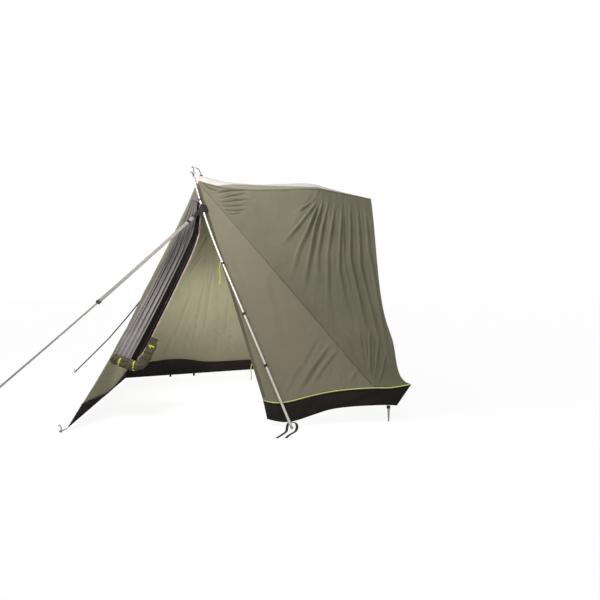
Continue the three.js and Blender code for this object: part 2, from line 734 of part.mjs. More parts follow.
// Zip slider on the free edge of the zip band: a clamp with two lips and a bridge, and a puller that hangs on it
{
  const rowShare = (doorFootShare - doorTopShare) / doorRows;
  const row = share => doorFootShare - share * rowShare;
  const edge = share => doorPlace(row(share), zipEnd(row(share)), -clothThickness / 2);
  const [low, high] = [edge(3), edge(4)];
  const along = high.clone().sub(low).normalize();
  const normal = along.clone().cross(doorAcross).normalize();
  if (normal.dot(doorOut) < 0) normal.negate();
  const inwards = normal.clone().cross(along).normalize();
  if (inwards.dot(doorAcross) > 0) inwards.negate();
  const grip = clothThickness / 2 + zipFit;
  const outer = grip + zipSliderWall;
  const lip = zipSliderWidth / 2;
  const shape = new THREE.Shape([
    new THREE.Vector2(-zipFit - zipSliderWall, -outer), new THREE.Vector2(lip, -outer),
    new THREE.Vector2(lip, -grip), new THREE.Vector2(-zipFit, -grip),
    new THREE.Vector2(-zipFit, grip), new THREE.Vector2(lip, grip),
    new THREE.Vector2(lip, outer), new THREE.Vector2(zipBridgeWidth / 2, outer),
    new THREE.Vector2(zipBridgeWidth / 2, outer + zipBridgeHeight),
    new THREE.Vector2(-zipBridgeWidth / 2, outer + zipBridgeHeight),
    new THREE.Vector2(-zipBridgeWidth / 2, outer), new THREE.Vector2(-zipFit - zipSliderWall, outer),
  ]);
  const body = new THREE.ExtrudeGeometry(shape, { depth: zipSliderLength, bevelEnabled: false });
  const place0 = mix(low, high, zipSliderShare);
  const slider = add('zip_slider', body, blackPlastic);
  const basis = new THREE.Matrix4().makeBasis(inwards, normal, inwards.clone().cross(normal));
  slider.quaternion.setFromRotationMatrix(basis);
  slider.position.copy(place0);
  const run = inwards.clone().cross(normal);
  pivot('zip_slider', place0, along);

  const hinge = place0.clone().addScaledVector(run, zipSliderLength / 2)
    .addScaledVector(normal, outer + zipBridgeHeight + fitGap + zipPullerThickness / 2);
  const half = zipPullerWidth / 2;
  const plate = new THREE.Shape([
    new THREE.Vector2(-half * 0.7, 0), new THREE.Vector2(half * 0.7, 0),
    new THREE.Vector2(half, zipPullerLength * 0.7), new THREE.Vector2(half * 0.6, zipPullerLength),
    new THREE.Vector2(-half * 0.6, zipPullerLength), new THREE.Vector2(-half, zipPullerLength * 0.7),
  ]);
  const eye = half * 0.4;
  const eyeStart = zipPullerLength * 0.72;
  plate.holes.push(new THREE.Path([
    new THREE.Vector2(-eye, eyeStart), new THREE.Vector2(eye, eyeStart),
    new THREE.Vector2(eye, eyeStart + 2 * eye), new THREE.Vector2(-eye, eyeStart + 2 * eye),
  ]));
  const pullerBody = new THREE.ExtrudeGeometry(plate, { depth: zipPullerThickness, bevelEnabled: false });
  pullerBody.translate(0, 0, -zipPullerThickness / 2);
  const puller = add('zip_puller', pullerBody, steel);
  const down = along.clone().negate();
  const side = down.clone().cross(normal);
  puller.quaternion.setFromRotationMatrix(new THREE.Matrix4().makeBasis(side, down, normal));
  puller.position.copy(hinge);
  pivot('zip_puller', hinge, side);
}

// Pole frame: each leg is straight up to a bend, and its upper part curves towards the peak
function legCurve(side) {
  const foot = at(poleFootShares, side);
  const bend = at(poleBendShares, side);
  const shoulder = bend.clone().add(bend.clone().sub(foot).multiplyScalar(poleShoulderShare));
  const leg = new THREE.CurvePath();
  leg.add(new THREE.LineCurve3(foot, bend));
  leg.add(new THREE.QuadraticBezierCurve3(bend, shoulder, at(poleTopShares, side)));
  return leg;
}

const legs = { near: legCurve(near), far: legCurve(far) };

// The share of a leg's length at which it reaches a height
function legShare(side, height) {
  const leg = legs[sideName(side)];
  let [low, high] = [0, 1];
  while (high - low > Number.EPSILON * poleSides) {
    const middle = (low + high) / 2;
    if (leg.getPoint(middle).z < height) low = middle;
    else high = middle;
  }
  return low;
}

const legPoint = (side, share) => legs[sideName(side)].getPoint(share);
const legWay = (side, share) => legs[sideName(side)].getTangent(clamp01(share));

// A stretch of a leg between two shares, whose first step is the straight part and whose others share the bend
class Stretch extends THREE.Curve {
  constructor(whole, from, to, steps) {
    super();
    const bend = whole.getCurveLengths()[0] / whole.getLength();
    Object.assign(this, { whole, from, to, steps, knee: Math.max(from, bend) });
  }

  getPoint(t, target = new THREE.Vector3()) {
    const straight = this.knee > this.from ? 1 / this.steps : 0;
    const share = t < straight
      ? THREE.MathUtils.lerp(this.from, this.knee, t / straight)
      : THREE.MathUtils.lerp(this.knee, this.to, (t - straight) / (1 - straight));
    return target.copy(this.whole.getPoint(share));
  }

  getUtoTmapping(u) {
    return u;
  }
}

function ringPath(radius, sides) {
  return Array.from({ length: sides }, (_, i) => {
    const angle = (2 * Math.PI * (i + 0.5)) / sides;
    return new THREE.Vector2(radius * Math.cos(angle), radius * Math.sin(angle));
  });
}

function tube(curve, radius, wall, steps) {
  const section = new THREE.Shape(ringPath(radius, poleSides));
  section.holes.push(new THREE.Path(ringPath(radius - wall, poleSides)));
  return new THREE.ExtrudeGeometry(section, { steps, bevelEnabled: false, extrudePath: curve });
}

const poleSteps = 11;
const topPoleSteps = 8;

for (const side of [near, far]) {
  const name = sideName(side);
  const leg = legs[name];
  const way = legWay(side, 0);
  const footLift = (poleRadius * Math.hypot(way.x, way.y)) / way.z;
  const footShare = footLift / leg.getLength();
  const mouthShare = legShare(side, collarPlaceHeight);
  const overlapShare = topPoleOverlap / leg.getLength();
  const lower = new Stretch(leg, footShare, mouthShare, poleSteps);
  const upper = new Stretch(leg, mouthShare - overlapShare, 1, topPoleSteps);
  add(`${name}_pole`, tube(lower, poleRadius, poleWall, poleSteps), steel);
  add(`${name}_top_pole`, tube(upper, topPoleRadius, poleWall, topPoleSteps), steel);

  // Collar: a sleeve over the lower tube's mouth, with a lip round the thinner tube
  const flatShare = Math.cos(Math.PI / poleSides);
  const bore = (poleRadius + fitGap) / flatShare;
  const lip = (topPoleRadius + fitGap) / flatShare;
  const rim = bore + collarWall;
  const half = collarHeight / 2;
  const profile = [
    [bore, -half], [rim, -half], [rim, half], [lip, half], [lip, fitGap], [bore, fitGap], [bore, -half],
  ];
  const collar = new THREE.LatheGeometry(profile.map(([r, h]) => new THREE.Vector2(r, h)), poleSides);
  collar.rotateX(Math.PI / 2);
  seat(add(`${name}_collar`, collar, blackPlastic), legPoint(side, mouthShare), legWay(side, mouthShare), up);
}

// Hooks at the peak: a plug in the pole's mouth and a bent wire that curls away from the van
const vanwards = new THREE.Vector3(1, 0, 0);
const sideways = new THREE.Vector3(0, 1, 0);
const wireSides = 8;

function topHook(side, rise, reach) {
  const top = legPoint(side, 1);
  const way = legWay(side, 1);
  const plugRadius = topPoleRadius - poleWall - 2 * fitGap;
  const onAxis = distance => top.clone().addScaledVector(way, distance);
  const inAir = (riseShare, reachShare, drop = 0, out = 0) => top.clone()
    .addScaledVector(up, rise * riseShare - drop)
    .addScaledVector(vanwards, -reach * reachShare - out);
  const rings = [
    [onAxis(-plugLength), plugRadius],
    [onAxis(fitGap), plugRadius],
    [onAxis(fitGap), topPoleRadius],
    [onAxis(plugFlange), topPoleRadius],
    [onAxis(plugFlange + fitGap), wireRadius],
  ];
  const bend = new THREE.CatmullRomCurve3([
    onAxis(plugFlange * 3),
    inAir(0.55, 0.4),
    inAir(0.9, 0.75),
    inAir(1, 1),
    inAir(1, 1, hookCurl * 0.2, hookCurl * 0.8),
    inAir(1, 1, hookCurl, hookCurl),
  ], false, 'centripetal');
  bend.getPoints(9).forEach(p => rings.push([p, wireRadius]));
  return add(`${sideName(side)}_top_hook`, loftRings(rings, sideways, wireSides), darkSteel);
}

// A loft whose rings may follow each other in one plane: the way between centres is taken past such a step
function loftRings(rings, across, sides) {
  const way = i => {
    let [before, after] = [i, i];
    while (before > 0 && rings[before][0].distanceTo(rings[i][0]) < fitGap / 2) before -= 1;
    while (after < rings.length - 1 && rings[after][0].distanceTo(rings[i][0]) < fitGap / 2) after += 1;
    const first = rings[Math.max(before - (before === i && i > 0 ? 1 : 0), 0)][0];
    const last = rings[Math.min(after + (after === i && i < rings.length - 1 ? 1 : 0), rings.length - 1)][0];
    return last.clone().sub(first).normalize();
  };
  return loftedBody(rings.map(([p, radius], i) => ringAt(p, way(i), across, radius, radius, sides)));
}

topHook(near, nearHookRise, nearHookReach);
topHook(far, farHookRise, farHookReach);

// A third hook stands on the ridge behind the peak, on a round foot
{
  const roof = awning.getObjectByName('roof');
  const ray = new THREE.Raycaster(new THREE.Vector3(), up.clone().negate());
  const spots = [-1, 0, 1].flatMap(i => [-1, 0, 1].map(j => [i * ridgeFootRadius, j * ridgeFootRadius]));
  const heights = spots.map(([x, y]) => {
    ray.ray.origin.set(x - ridgeHookRun, y, peakHeight + ridgeHookRise * 2);
    return ray.intersectObject(roof)[0].point.z;
  });
  const base = new THREE.Vector3(-ridgeHookRun, 0, Math.max(...heights) + fitGap);
  const inAir = (riseShare, reachShare) => base.clone()
    .addScaledVector(up, ridgeHookRise * riseShare)
    .addScaledVector(vanwards, -ridgeHookReach * reachShare);
  const onFoot = height => base.clone().addScaledVector(up, height);
  const bend = new THREE.CatmullRomCurve3(
    [onFoot(ridgeFootHeight * 2), inAir(0.55, 0.3), inAir(0.9, 0.5), inAir(1.1, 1), inAir(1.2, 1.3)],
    false, 'centripetal');
  const rings = [
    [onFoot(0), ridgeFootRadius],
    [onFoot(ridgeFootHeight), ridgeFootRadius],
    [onFoot(ridgeFootHeight), wireRadius],
    ...bend.getPoints(8).map(p => [p, wireRadius]),
  ];
  add('ridge_hook', loftRings(rings, sideways, wireSides), darkSteel);
}

// The way out of a side wall at the spot that is seen one way from a point
function wallNormal(side, point, way) {
  return new THREE.Raycaster(point, way).intersectObjects(walls[sideName(side)])[0].face.normal.clone();
}

// The least distance from some spots to a side wall, looking one way; spots that miss it don't count
function clearOfWall(side, spots, way) {
  const hits = spots.flatMap(spot =>
    new THREE.Raycaster(spot, way).intersectObjects(walls[sideName(side)]).slice(0, 1));
  return Math.min(...hits.map(hit => hit.distance));
}

// Pole clips: an open ring that snaps on the pole, with a tab that reaches the wall's cloth
const clipStepAngle = Math.PI / 6;
const clipMouthTurn = (2 * Math.PI) / 3;

function clipShape(reach) {
  const inner = (poleRadius + fitGap) / Math.cos(clipStepAngle / 2);
  const outer = inner + clipWall;
  const mouth = clipMouth / (2 * outer);
  const tab = Math.asin(clipTabThickness / (2 * outer));
  const onRing = (radius, angle) => new THREE.Vector2(radius * Math.cos(angle), radius * Math.sin(angle));
  const arc = (radius, from, to) => {
    const steps = Math.ceil(Math.abs(to - from) / clipStepAngle);
    return Array.from({ length: steps + 1 }, (_, i) => onRing(radius, THREE.MathUtils.lerp(from, to, i / steps)));
  };
  const start = clipMouthTurn + mouth;
  const end = clipMouthTurn - mouth + 2 * Math.PI;
  return new THREE.Shape([
    ...arc(outer, start, Math.PI - tab),
    new THREE.Vector2(-reach, clipTabThickness / 2),
    new THREE.Vector2(-reach, -clipTabThickness / 2),
    ...arc(outer, Math.PI + tab, end),
    ...arc(inner, end, start),
  ]);
}

for (const side of [near, far]) {
  const name = sideName(side);
  clipPlaceHeights.forEach((height, k) => {
    const share = legShare(side, height);
    const centre = legPoint(side, share);
    const way = legWay(side, share);
    const out = wallNormal(side, centre, wallOut(side).negate());
    out.addScaledVector(way, -out.dot(way)).normalize();
    const around = way.clone().cross(out).normalize();
    const spots = [-1, 0, 1].flatMap(i => [-1, 0, 1].map(j => centre.clone()
      .addScaledVector(way, (i * clipHeight) / 2)
      .addScaledVector(around, (j * clipTabThickness) / 2)));
    const reach = clearOfWall(side, spots, out.clone().negate()) - fitGap;
    const geometry = new THREE.ExtrudeGeometry(clipShape(reach), { depth: clipHeight, bevelEnabled: false });
    geometry.translate(0, 0, -clipHeight / 2);
    if (side === far) geometry.rotateX(Math.PI);
    seat(add(`${name}_clip_${k + 1}`, geometry, blackPlastic), centre, way, out);
    pivot(`${name}_clip_${k + 1}`, centre, way);
  });
}

// Guy set of one side: patch on the pole, buckle, ladder-lock, strap that narrows at a slider, and a ground peg
const rectangle = (halfWidth, halfHeight, y = 0) => [
  new THREE.Vector2(-halfWidth, y - halfHeight), new THREE.Vector2(halfWidth, y - halfHeight),
  new THREE.Vector2(halfWidth, y + halfHeight), new THREE.Vector2(-halfWidth, y + halfHeight),
];

function frameBody(halfWidth, halfHeight, wall, length) {
  const shape = new THREE.Shape(rectangle(halfWidth + wall, halfHeight + wall));
  shape.holes.push(new THREE.Path(rectangle(halfWidth, halfHeight)));
  return new THREE.ExtrudeGeometry(shape, { depth: length, bevelEnabled: false });
}

function buckleBody() {
  const half = buckleWidth / 2;
  const outline = [[1, 0], [1, 0.34], [0.82, 0.42], [0.82, 0.6], [1, 0.68], [1, 1]];
  const right = outline.map(([x, y]) => new THREE.Vector2(x * half, y * buckleLength));
  const left = outline.map(([x, y]) => new THREE.Vector2(-x * half, y * buckleLength)).reverse();
  const shape = new THREE.Shape([...right, ...left]);
  const slot = (centre, widthShare) =>
    shape.holes.push(new THREE.Path(rectangle(half * widthShare, buckleSlot / 2, centre)));
  slot(buckleSlot * 1.5, 0.76);
  slot(buckleLength / 2, 0.3);
  slot(buckleLength - buckleSlot * 1.5, 0.76);
  const body = new THREE.ExtrudeGeometry(shape, { depth: buckleThickness, bevelEnabled: false });
  body.translate(0, 0, -buckleThickness / 2);
  return body;
}

for (const side of [near, far]) {
  const name = sideName(side);
  const share = legShare(side, guyPlaceHeight);
  const start = legPoint(side, share);
  const poleWay = legWay(side, share);
  const end = at(guyAnchorShares, side);
  const chord = end.distanceTo(start);
  const [drop, sliderReach] = side === near ? [nearGuyDrop, nearSliderReach] : [farGuyDrop, farSliderReach];
  const slack = end.clone().sub(start).divideScalar(chord).addScaledVector(up, -drop);
  const length = chord * slack.length();
  const way = slack.clone().normalize();
  const along = distance => start.clone().addScaledVector(way, distance);
  const out = poleWay.clone().cross(way).normalize();
  if (out.y * side < 0) out.negate();
  const across = way.clone().cross(out).normalize();
  if (across.dot(poleWay) < 0) across.negate();

  // The patch is a kite of cloth: a narrow end at the buckle, a hump over the pole and a short back end
  const onWall = wallOut(side);
  onWall.addScaledVector(poleWay, -onWall.dot(poleWay)).normalize();
  const back = poleWay.clone().cross(onWall).normalize();
  if (back.dot(way) > 0) back.negate();
  const spots = [-0.5, -0.25, 0, 0.25, 0.5].map(t => start.clone()
    .addScaledVector(back, patchReach)
    .addScaledVector(poleWay, patchBackLength * t));
  const dip = clearOfWall(side, spots, onWall.clone().negate()) - clothThickness - fitGap;
  const patchOut = u => mixOut(out, onWall, u);
  const patchPoint = (u, v) => {
    const strapEnd = along(guyLoopReach).addScaledVector(across, guyLoopWidth * (v - 0.5));
    const onPole = start.clone().addScaledVector(poleWay, patchLength * (v - 0.5));
    const backEnd = start.clone().addScaledVector(back, patchReach)
      .addScaledVector(poleWay, patchBackLength * (v - 0.5))
      .addScaledVector(onWall, -dip);
    const p = u < 0.6 ? mix(strapEnd, onPole, u / 0.6) : mix(onPole, backEnd, (u - 0.6) / 0.4);
    const offAxis = p.clone().sub(start);
    const rise = patchOut(u);
    offAxis.addScaledVector(poleWay, -offAxis.dot(poleWay)).addScaledVector(rise, -offAxis.dot(rise));
    const hump = Math.cos((Math.PI / 2) * clamp01(offAxis.length() / (patchRise * 2.2))) ** 2;
    return p.addScaledVector(rise, patchRise * hump);
  };
  add(`${name}_guy_patch`, clothBody({ columns: 10, rows: 3, surface: patchPoint, out: patchOut }), darkWebbing);

  const buckleStart = guyLoopReach + fitGap;
  const flat = across.clone().cross(way);
  const buckle = add(`${name}_buckle`, buckleBody(), blackPlastic, guySet);
  buckle.quaternion.setFromRotationMatrix(new THREE.Matrix4().makeBasis(across, way, flat));
  buckle.position.copy(along(buckleStart));

  // Strap: broad up to the slider, then a narrow line down to the peg
  const strapStart = buckleStart + buckleLength + fitGap;
  const strapEnd = length - lineWidth;
  const sliderEnd = strapStart + sliderReach + sliderLength;
  const sagStart = strapStart + ladderRun;
  const onStrap = distance => along(distance)
    .addScaledVector(up, drop * chord * clamp01((distance - sagStart) / (length - sagStart)) ** 2);
  const strapWay = distance => onStrap(distance + sliderLength).sub(onStrap(distance)).normalize();
  const steps = (from, to, width) => Array.from({ length: guySteps + 1 }, (_, i) =>
    [THREE.MathUtils.lerp(from, to, i / guySteps), width]);
  const stations = [
    [strapStart, strapWidth], ...steps(sagStart, sliderEnd, strapWidth),
    ...steps(sliderEnd + strapThickness, strapEnd, lineWidth),
  ];
  const strap = loftAlong(stations.map(([distance]) => onStrap(distance)), out,
    (t, i) => [stations[i][1] / 2, strapThickness / 2], 4);
  add(`${name}_guy_strap`, strap, webbing, guySet);

  const bore = [strapWidth / 2 + fitGap, strapThickness / 2 + fitGap];
  [['ladder_lock', ladderReach, ladderLength], ['guy_slider', sliderReach, sliderLength]].forEach(
    ([piece, reach, pieceLength]) => {
      const body = frameBody(...bore, sliderWall, pieceLength);
      const place0 = onStrap(strapStart + reach);
      const pieceWay = strapWay(strapStart + reach);
      seat(add(`${name}_${piece}`, body, blackPlastic, guySet), place0, pieceWay, across);
      pivot(`${name}_${piece}`, place0, pieceWay);
    });

  // Ground peg: a pin whose hooked head holds the line's end
  const endWay = onStrap(strapEnd).sub(onStrap(strapEnd - sliderLength)).normalize();
  const lean = endWay.clone().setZ(0).normalize();
  const lineEnd = ringAt(onStrap(strapEnd), endWay, out, lineWidth / 2, strapThickness / 2, 4);
  const pegReach = pegRadius * Math.cos(Math.PI / wireSides) + Math.max(...lineEnd.map(p => p.sub(end).dot(lean)));
  const pegPlace = (outShare, heightShare) => end.clone()
    .addScaledVector(lean, pegReach + guyPegHeight * outShare)
    .addScaledVector(up, guyPegHeight * heightShare);
  const peg = new THREE.CatmullRomCurve3(
    [pegPlace(0, 0), pegPlace(0, 0.25), pegPlace(0, 0.5), pegPlace(0.12, 0.75), pegPlace(0.06, 0.95),
      pegPlace(-0.12, 0.86)],
    false, 'centripetal').getPoints(10);
  add(`${name}_guy_peg`, pinBody(peg, lean.clone().cross(up)), steel, guySet);
}

// A bent pin whose foot is cut level with the ground
function pinBody(points, across) {
  const rings = points.map((p, i) => {
    const before = points[Math.max(i - 1, 0)];
    const after = points[Math.min(i + 1, points.length - 1)];
    const way = i === 0 ? up : after.clone().sub(before).normalize();
    return ringAt(p, way, across, pegRadius, pegRadius, wireSides);
  });
  return loftedBody(rings);
}

// Webbing round each foot: both tails lie on the ground in front of it
const poleFoot = place(poleFootShares);
const footStrapRoute = [
  [133, 158, 0], [90, 100, 0], [52, 35, 0], [38, -21, 14], [28, -42, 34], [0, -46, 40],
  [-28, -34, 34], [-32, -3, 14], [-12, 45, 0], [41, 115, 0], [68, 168, 0],
];
for (const side of [near, far]) {
  const lowest = footStrapThickness / 2;
  const route = footStrapRoute.map(([run, half, height]) => new THREE.Vector3(
    -poleFoot.run - run, side * (poleFoot.half + half), height + lowest));
  const points = new THREE.CatmullRomCurve3(route, false, 'centripetal').getPoints(28);
  points.forEach(p => p.setZ(Math.max(p.z, lowest)));
  const strap = loftAlong(points, up, () => [footStrapWidth / 2, footStrapThickness / 2], 4);
  add(`${sideName(side)}_foot_strap`, strap, darkWebbing);
}

// Hem tab by the van: a belt loop under the hem, with a flat peg that hangs in it by its head
for (const side of [near, far]) {
  const name = sideName(side);
  const { hem } = linesAt(side);
  let [before, after] = [0, 1];
  while (after - before > Number.EPSILON * pipingSides) {
    const middle = (before + after) / 2;
    if (hem(middle).x < -hemPegRun) before = middle;
    else after = middle;
  }
  const out = sideways.clone().multiplyScalar(side);
  const hemPoint = hem(before);
  const boreHalfWidth = hemPegWidth / 2 + fitGap;
  const boreHalfDepth = hemPegThickness / 2 + fitGap;
  const depth = 2 * boreHalfDepth + hemTabStandoff + hemTabWall + clothThickness;
  const width = hemTabWidth / 2;
  const shape = new THREE.Shape([
    new THREE.Vector2(-width, -clothThickness), new THREE.Vector2(width, -clothThickness),
    new THREE.Vector2(width, depth - clothThickness), new THREE.Vector2(-width, depth - clothThickness),
  ]);
  const boreCentre = boreHalfDepth + hemTabStandoff;
  shape.holes.push(new THREE.Path(rectangle(boreHalfWidth, boreHalfDepth, boreCentre)));
  const tab = new THREE.ExtrudeGeometry(shape, { depth: hemTabLength, bevelEnabled: false });
  const skirt = awning.getObjectByName(`${name}_skirt`);
  const spots = [-1, -0.5, 0, 0.5, 1].flatMap(i => [0.1, 0.5, 0.9].map(j => hemPoint.clone()
    .addScaledVector(vanwards, width * i)
    .addScaledVector(out, -clothThickness * j)
    .setZ(0)));
  const heights = spots.flatMap(spot => new THREE.Raycaster(spot, up).intersectObject(skirt).slice(0, 1));
  const top = Math.min(...heights.map(hit => hit.distance)) - fitGap;
  const basis = new THREE.Matrix4().makeBasis(out.clone().cross(up), out, up);
  const tabMesh = add(`${name}_hem_tab`, tab, darkWebbing);
  tabMesh.quaternion.setFromRotationMatrix(basis);
  tabMesh.position.copy(hemPoint).setZ(top - hemTabLength);

  const headTop = top + fitGap + hemPegHeadHeight;
  const outline = [
    [hemPegTip / 2, 0], [hemPegWidth / 2, top - hemTabLength], [hemPegWidth / 2, top + fitGap],
    [hemPegHead / 2, top + fitGap], [hemPegHead / 2, headTop],
  ];
  const peg = new THREE.Shape([
    ...outline.map(([x, y]) => new THREE.Vector2(x, y)),
    ...outline.map(([x, y]) => new THREE.Vector2(-x, y)).reverse(),
  ]);
  const pegBody = new THREE.ExtrudeGeometry(peg, { depth: hemPegThickness, bevelEnabled: false });
  pegBody.translate(0, 0, -hemPegThickness / 2);
  const pegMesh = add(`${name}_hem_peg`, pegBody, steel);
  pegMesh.quaternion.setFromRotationMatrix(new THREE.Matrix4().makeBasis(up.clone().cross(out), up, out));
  pegMesh.position.copy(hemPoint).addScaledVector(out, boreCentre).setZ(0);
  pivot(`${name}_hem_peg`, pegMesh.position, up);
}

// Front corners: a keyhole loop at the panel's tip, and a bent pin through its eye
for (const side of [near, far]) {
  const name = sideName(side);
  const tip = at(frontCornerShares, side);
  const eyeReach = frontLoopReach + frontLoopNeck;
  const level = new THREE.Vector3(-frontLoopWayShares[0], side * frontLoopWayShares[1], 0).normalize();
  const start = tip.clone().addScaledVector(level, fitGap);
  const eyeHeight = frontLoopRadius;
  const way = level.clone().multiplyScalar(eyeReach).addScaledVector(up, eyeHeight - start.z).normalize();
  const neckAngle = Math.asin(frontLoopNeck / frontLoopRadius);
  const round = Array.from({ length: wireSides * 2 - 1 }, (_, i) => {
    const angle = Math.PI + neckAngle + ((2 * Math.PI - 2 * neckAngle) * i) / (wireSides * 2 - 2);
    return new THREE.Vector2(eyeReach + frontLoopRadius * Math.cos(angle), frontLoopRadius * Math.sin(angle));
  });
  const shape = new THREE.Shape([
    new THREE.Vector2(0, frontLoopNeck), new THREE.Vector2(0, -frontLoopNeck), ...round,
  ]);
  const eye = new THREE.Path(ringPath(pegRadius + frontLoopSlack, wireSides * 2)
    .map(corner => corner.add(new THREE.Vector2(eyeReach, 0))));
  shape.holes.push(eye);
  const loopBody = new THREE.ExtrudeGeometry(shape, { depth: frontLoopThickness, bevelEnabled: false });
  loopBody.translate(0, 0, -frontLoopThickness / 2);
  const flat = way.clone().cross(up).normalize();
  const normal = flat.clone().cross(way).normalize();
  const loop = add(`${name}_front_loop`, loopBody, darkWebbing);
  loop.quaternion.setFromRotationMatrix(new THREE.Matrix4().makeBasis(way, normal.clone().cross(way), normal));
  loop.position.copy(start);

  const foot = start.clone().addScaledVector(way, eyeReach).setZ(0);
  const pegPlace = (outShare, heightShare) => foot.clone()
    .addScaledVector(level, frontPegLean * outShare)
    .addScaledVector(up, frontPegHeight * heightShare);
  const bend = new THREE.CatmullRomCurve3(
    [pegPlace(0, 0), pegPlace(0, 0.5), pegPlace(0.2, 0.85), pegPlace(0.6, 1), pegPlace(1, 0.88)],
    false, 'centripetal').getPoints(8);
  add(`${name}_front_peg`, pinBody(bend, level.clone().cross(up)), steel);
  pivot(`${name}_front_peg`, foot, up);
}

// Lime cords on the near wall's front edge, with which the door can be tied back
tieBackHeights.forEach((height, k) => {
  const { wallEdge } = lines.near;
  let [above, below] = [0, 1];
  while (below - above > Number.EPSILON * pipingSides) {
    const middle = (above + below) / 2;
    if (wallEdge(middle).z > height) above = middle;
    else below = middle;
  }
  const top = wallEdge(above).addScaledVector(vanwards, -tieBackRadius - fitGap);
  const swayShares = [[0, 0], [0.35, 0.05], [0.7, 0.02], [1, 0.04]];
  const cord = new THREE.CatmullRomCurve3(swayShares.map(([down, sway]) => top.clone()
    .addScaledVector(up, -tieBackLengths[k] * down)
    .addScaledVector(vanwards, -tieBackLengths[k] * sway)), false, 'centripetal').getPoints(9);
  const name = k === 0 ? 'tie_back_upper' : 'tie_back_lower';
  add(name, loftAlong(cord, sideways, () => [tieBackRadius, tieBackRadius], wireSides), limeCord);
  pivot(name, top, vanwards);
});

// Everything is centred over the ground that it covers; what the guys carry reaches beyond and isn't counted
const bounds = new THREE.Box3();
awning.updateMatrixWorld(true);
awning.traverse(object => {
  if (object.isMesh && object.parent !== guySet) bounds.expandByObject(object, true);
});
awning.position.x = -(bounds.min.x + bounds.max.x) / 2;

export default awning;
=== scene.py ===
# %% [markdown]
# A drive-away awning: a tent of thin cloth that hangs from two bent steel poles
# and is pulled over the rear of a van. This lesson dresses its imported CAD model.
# The first cell loads that model as a fixed frame. Its cloth solids are stood for by
# thin sheets with folds, and its rigid parts get rounder edges and finer finishes.

# %% Load the frame
import bmesh
import bpy
import math
import numpy as np
from mathutils import Matrix, Vector, geometry, noise
from mathutils.bvhtree import BVHTree
from mathutils.kdtree import KDTree


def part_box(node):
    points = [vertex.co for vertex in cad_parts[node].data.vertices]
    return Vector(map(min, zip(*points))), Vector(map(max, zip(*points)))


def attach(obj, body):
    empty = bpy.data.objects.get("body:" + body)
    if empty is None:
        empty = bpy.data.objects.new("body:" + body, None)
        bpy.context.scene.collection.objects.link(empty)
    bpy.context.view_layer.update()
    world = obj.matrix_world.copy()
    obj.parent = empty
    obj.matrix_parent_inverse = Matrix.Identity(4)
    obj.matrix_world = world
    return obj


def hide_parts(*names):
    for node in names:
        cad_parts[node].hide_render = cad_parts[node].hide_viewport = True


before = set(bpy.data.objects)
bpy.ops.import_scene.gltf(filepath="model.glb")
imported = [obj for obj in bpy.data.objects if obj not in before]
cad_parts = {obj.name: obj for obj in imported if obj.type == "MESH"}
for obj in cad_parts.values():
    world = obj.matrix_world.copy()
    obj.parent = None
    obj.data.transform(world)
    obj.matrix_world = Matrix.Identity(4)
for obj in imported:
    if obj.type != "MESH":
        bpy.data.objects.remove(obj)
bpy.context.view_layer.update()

# %% [markdown]
# The camera stands level at eye height, a little over four metres from the side
# with the open door. A level camera keeps upright lines upright, and the small
# shift only moves the horizon, as a view camera's rising front does.

# %% Camera
EYE = Vector((-0.056, -4.257, 1.069))
LOOK = Vector((0.1488, 0.9889, 0.0)).normalized()
SENSOR = 36.0
LENS_SHARE = 441 / 600
SHIFT = (-0.0035, -0.028)
UP = Vector((0, 0, 1))

eye_data = bpy.data.cameras.new("eye")
eye_data.sensor_width = SENSOR
eye_data.lens = LENS_SHARE * SENSOR
eye_data.shift_x, eye_data.shift_y = SHIFT
eye = bpy.data.objects.new("eye", eye_data)
turn = Matrix((LOOK.cross(UP), UP, -LOOK)).transposed().to_4x4()
eye.matrix_world = Matrix.Translation(EYE) @ turn
bpy.context.scene.collection.objects.link(eye)
bpy.context.scene.camera = eye
print("camera at", [round(v, 3) for v in EYE], "lens", round(eye_data.lens, 2))

# %% [markdown]
# Every finish here is a node tree, so these first helpers keep the later cells short:
# a colour read from a screen, a node with its values, a mix, a noise, and a chain of
# bumps. All patterns read Object coordinates or the piece's own UV map, so nothing
# slides over the cloth when a piece moves.

# %% Helpers for finishes


def linear(red, green, blue):
    """A colour read from a screen, made linear."""
    return tuple(((v / 255 + 0.055) / 1.055) ** 2.4 for v in (red, green, blue)) + (1,)


def node(tree, kind, **inputs):
    made = tree.nodes.new("ShaderNode" + kind)
    for name, value in inputs.items():
        made.inputs[name.replace("_", " ")].default_value = value
    return made


def blank_finish(name):
    finish = bpy.data.materials.new(name)
    finish.use_nodes = True
    tree = finish.node_tree
    return finish, tree, tree.nodes["Principled BSDF"], tree.nodes["Material Output"]


def plug(tree, value, socket):
    """Links a socket, or sets a number or colour."""
    if isinstance(value, bpy.types.NodeSocket):
        tree.links.new(value, socket)
    else:
        socket.default_value = value


def mixed(tree, factor, first, second, mode="MIX"):
    mix = tree.nodes.new("ShaderNodeMix")
    mix.data_type, mix.blend_type = "RGBA", mode
    for value, place in ((factor, 0), (first, 6), (second, 7)):
        plug(tree, value, mix.inputs[place])
    return mix.outputs[2]


def counted(tree, operation, first, second=0.0):
    made = node(tree, "Math")
    made.operation = operation
    plug(tree, first, made.inputs[0])
    plug(tree, second, made.inputs[1])
    return made.outputs[0]


def speckle(tree, where, scale, detail=3.0, stretch=None):
    """Noise from 0 to 1, stretched along the axes if asked."""
    if stretch:
        mapping = node(tree, "Mapping", Scale=stretch)
        tree.links.new(where, mapping.inputs["Vector"])
        where = mapping.outputs["Vector"]
    made = node(tree, "TexNoise", Scale=scale, Detail=detail, Roughness=0.55)
    tree.links.new(where, made.inputs["Vector"])
    return made.outputs["Fac"]


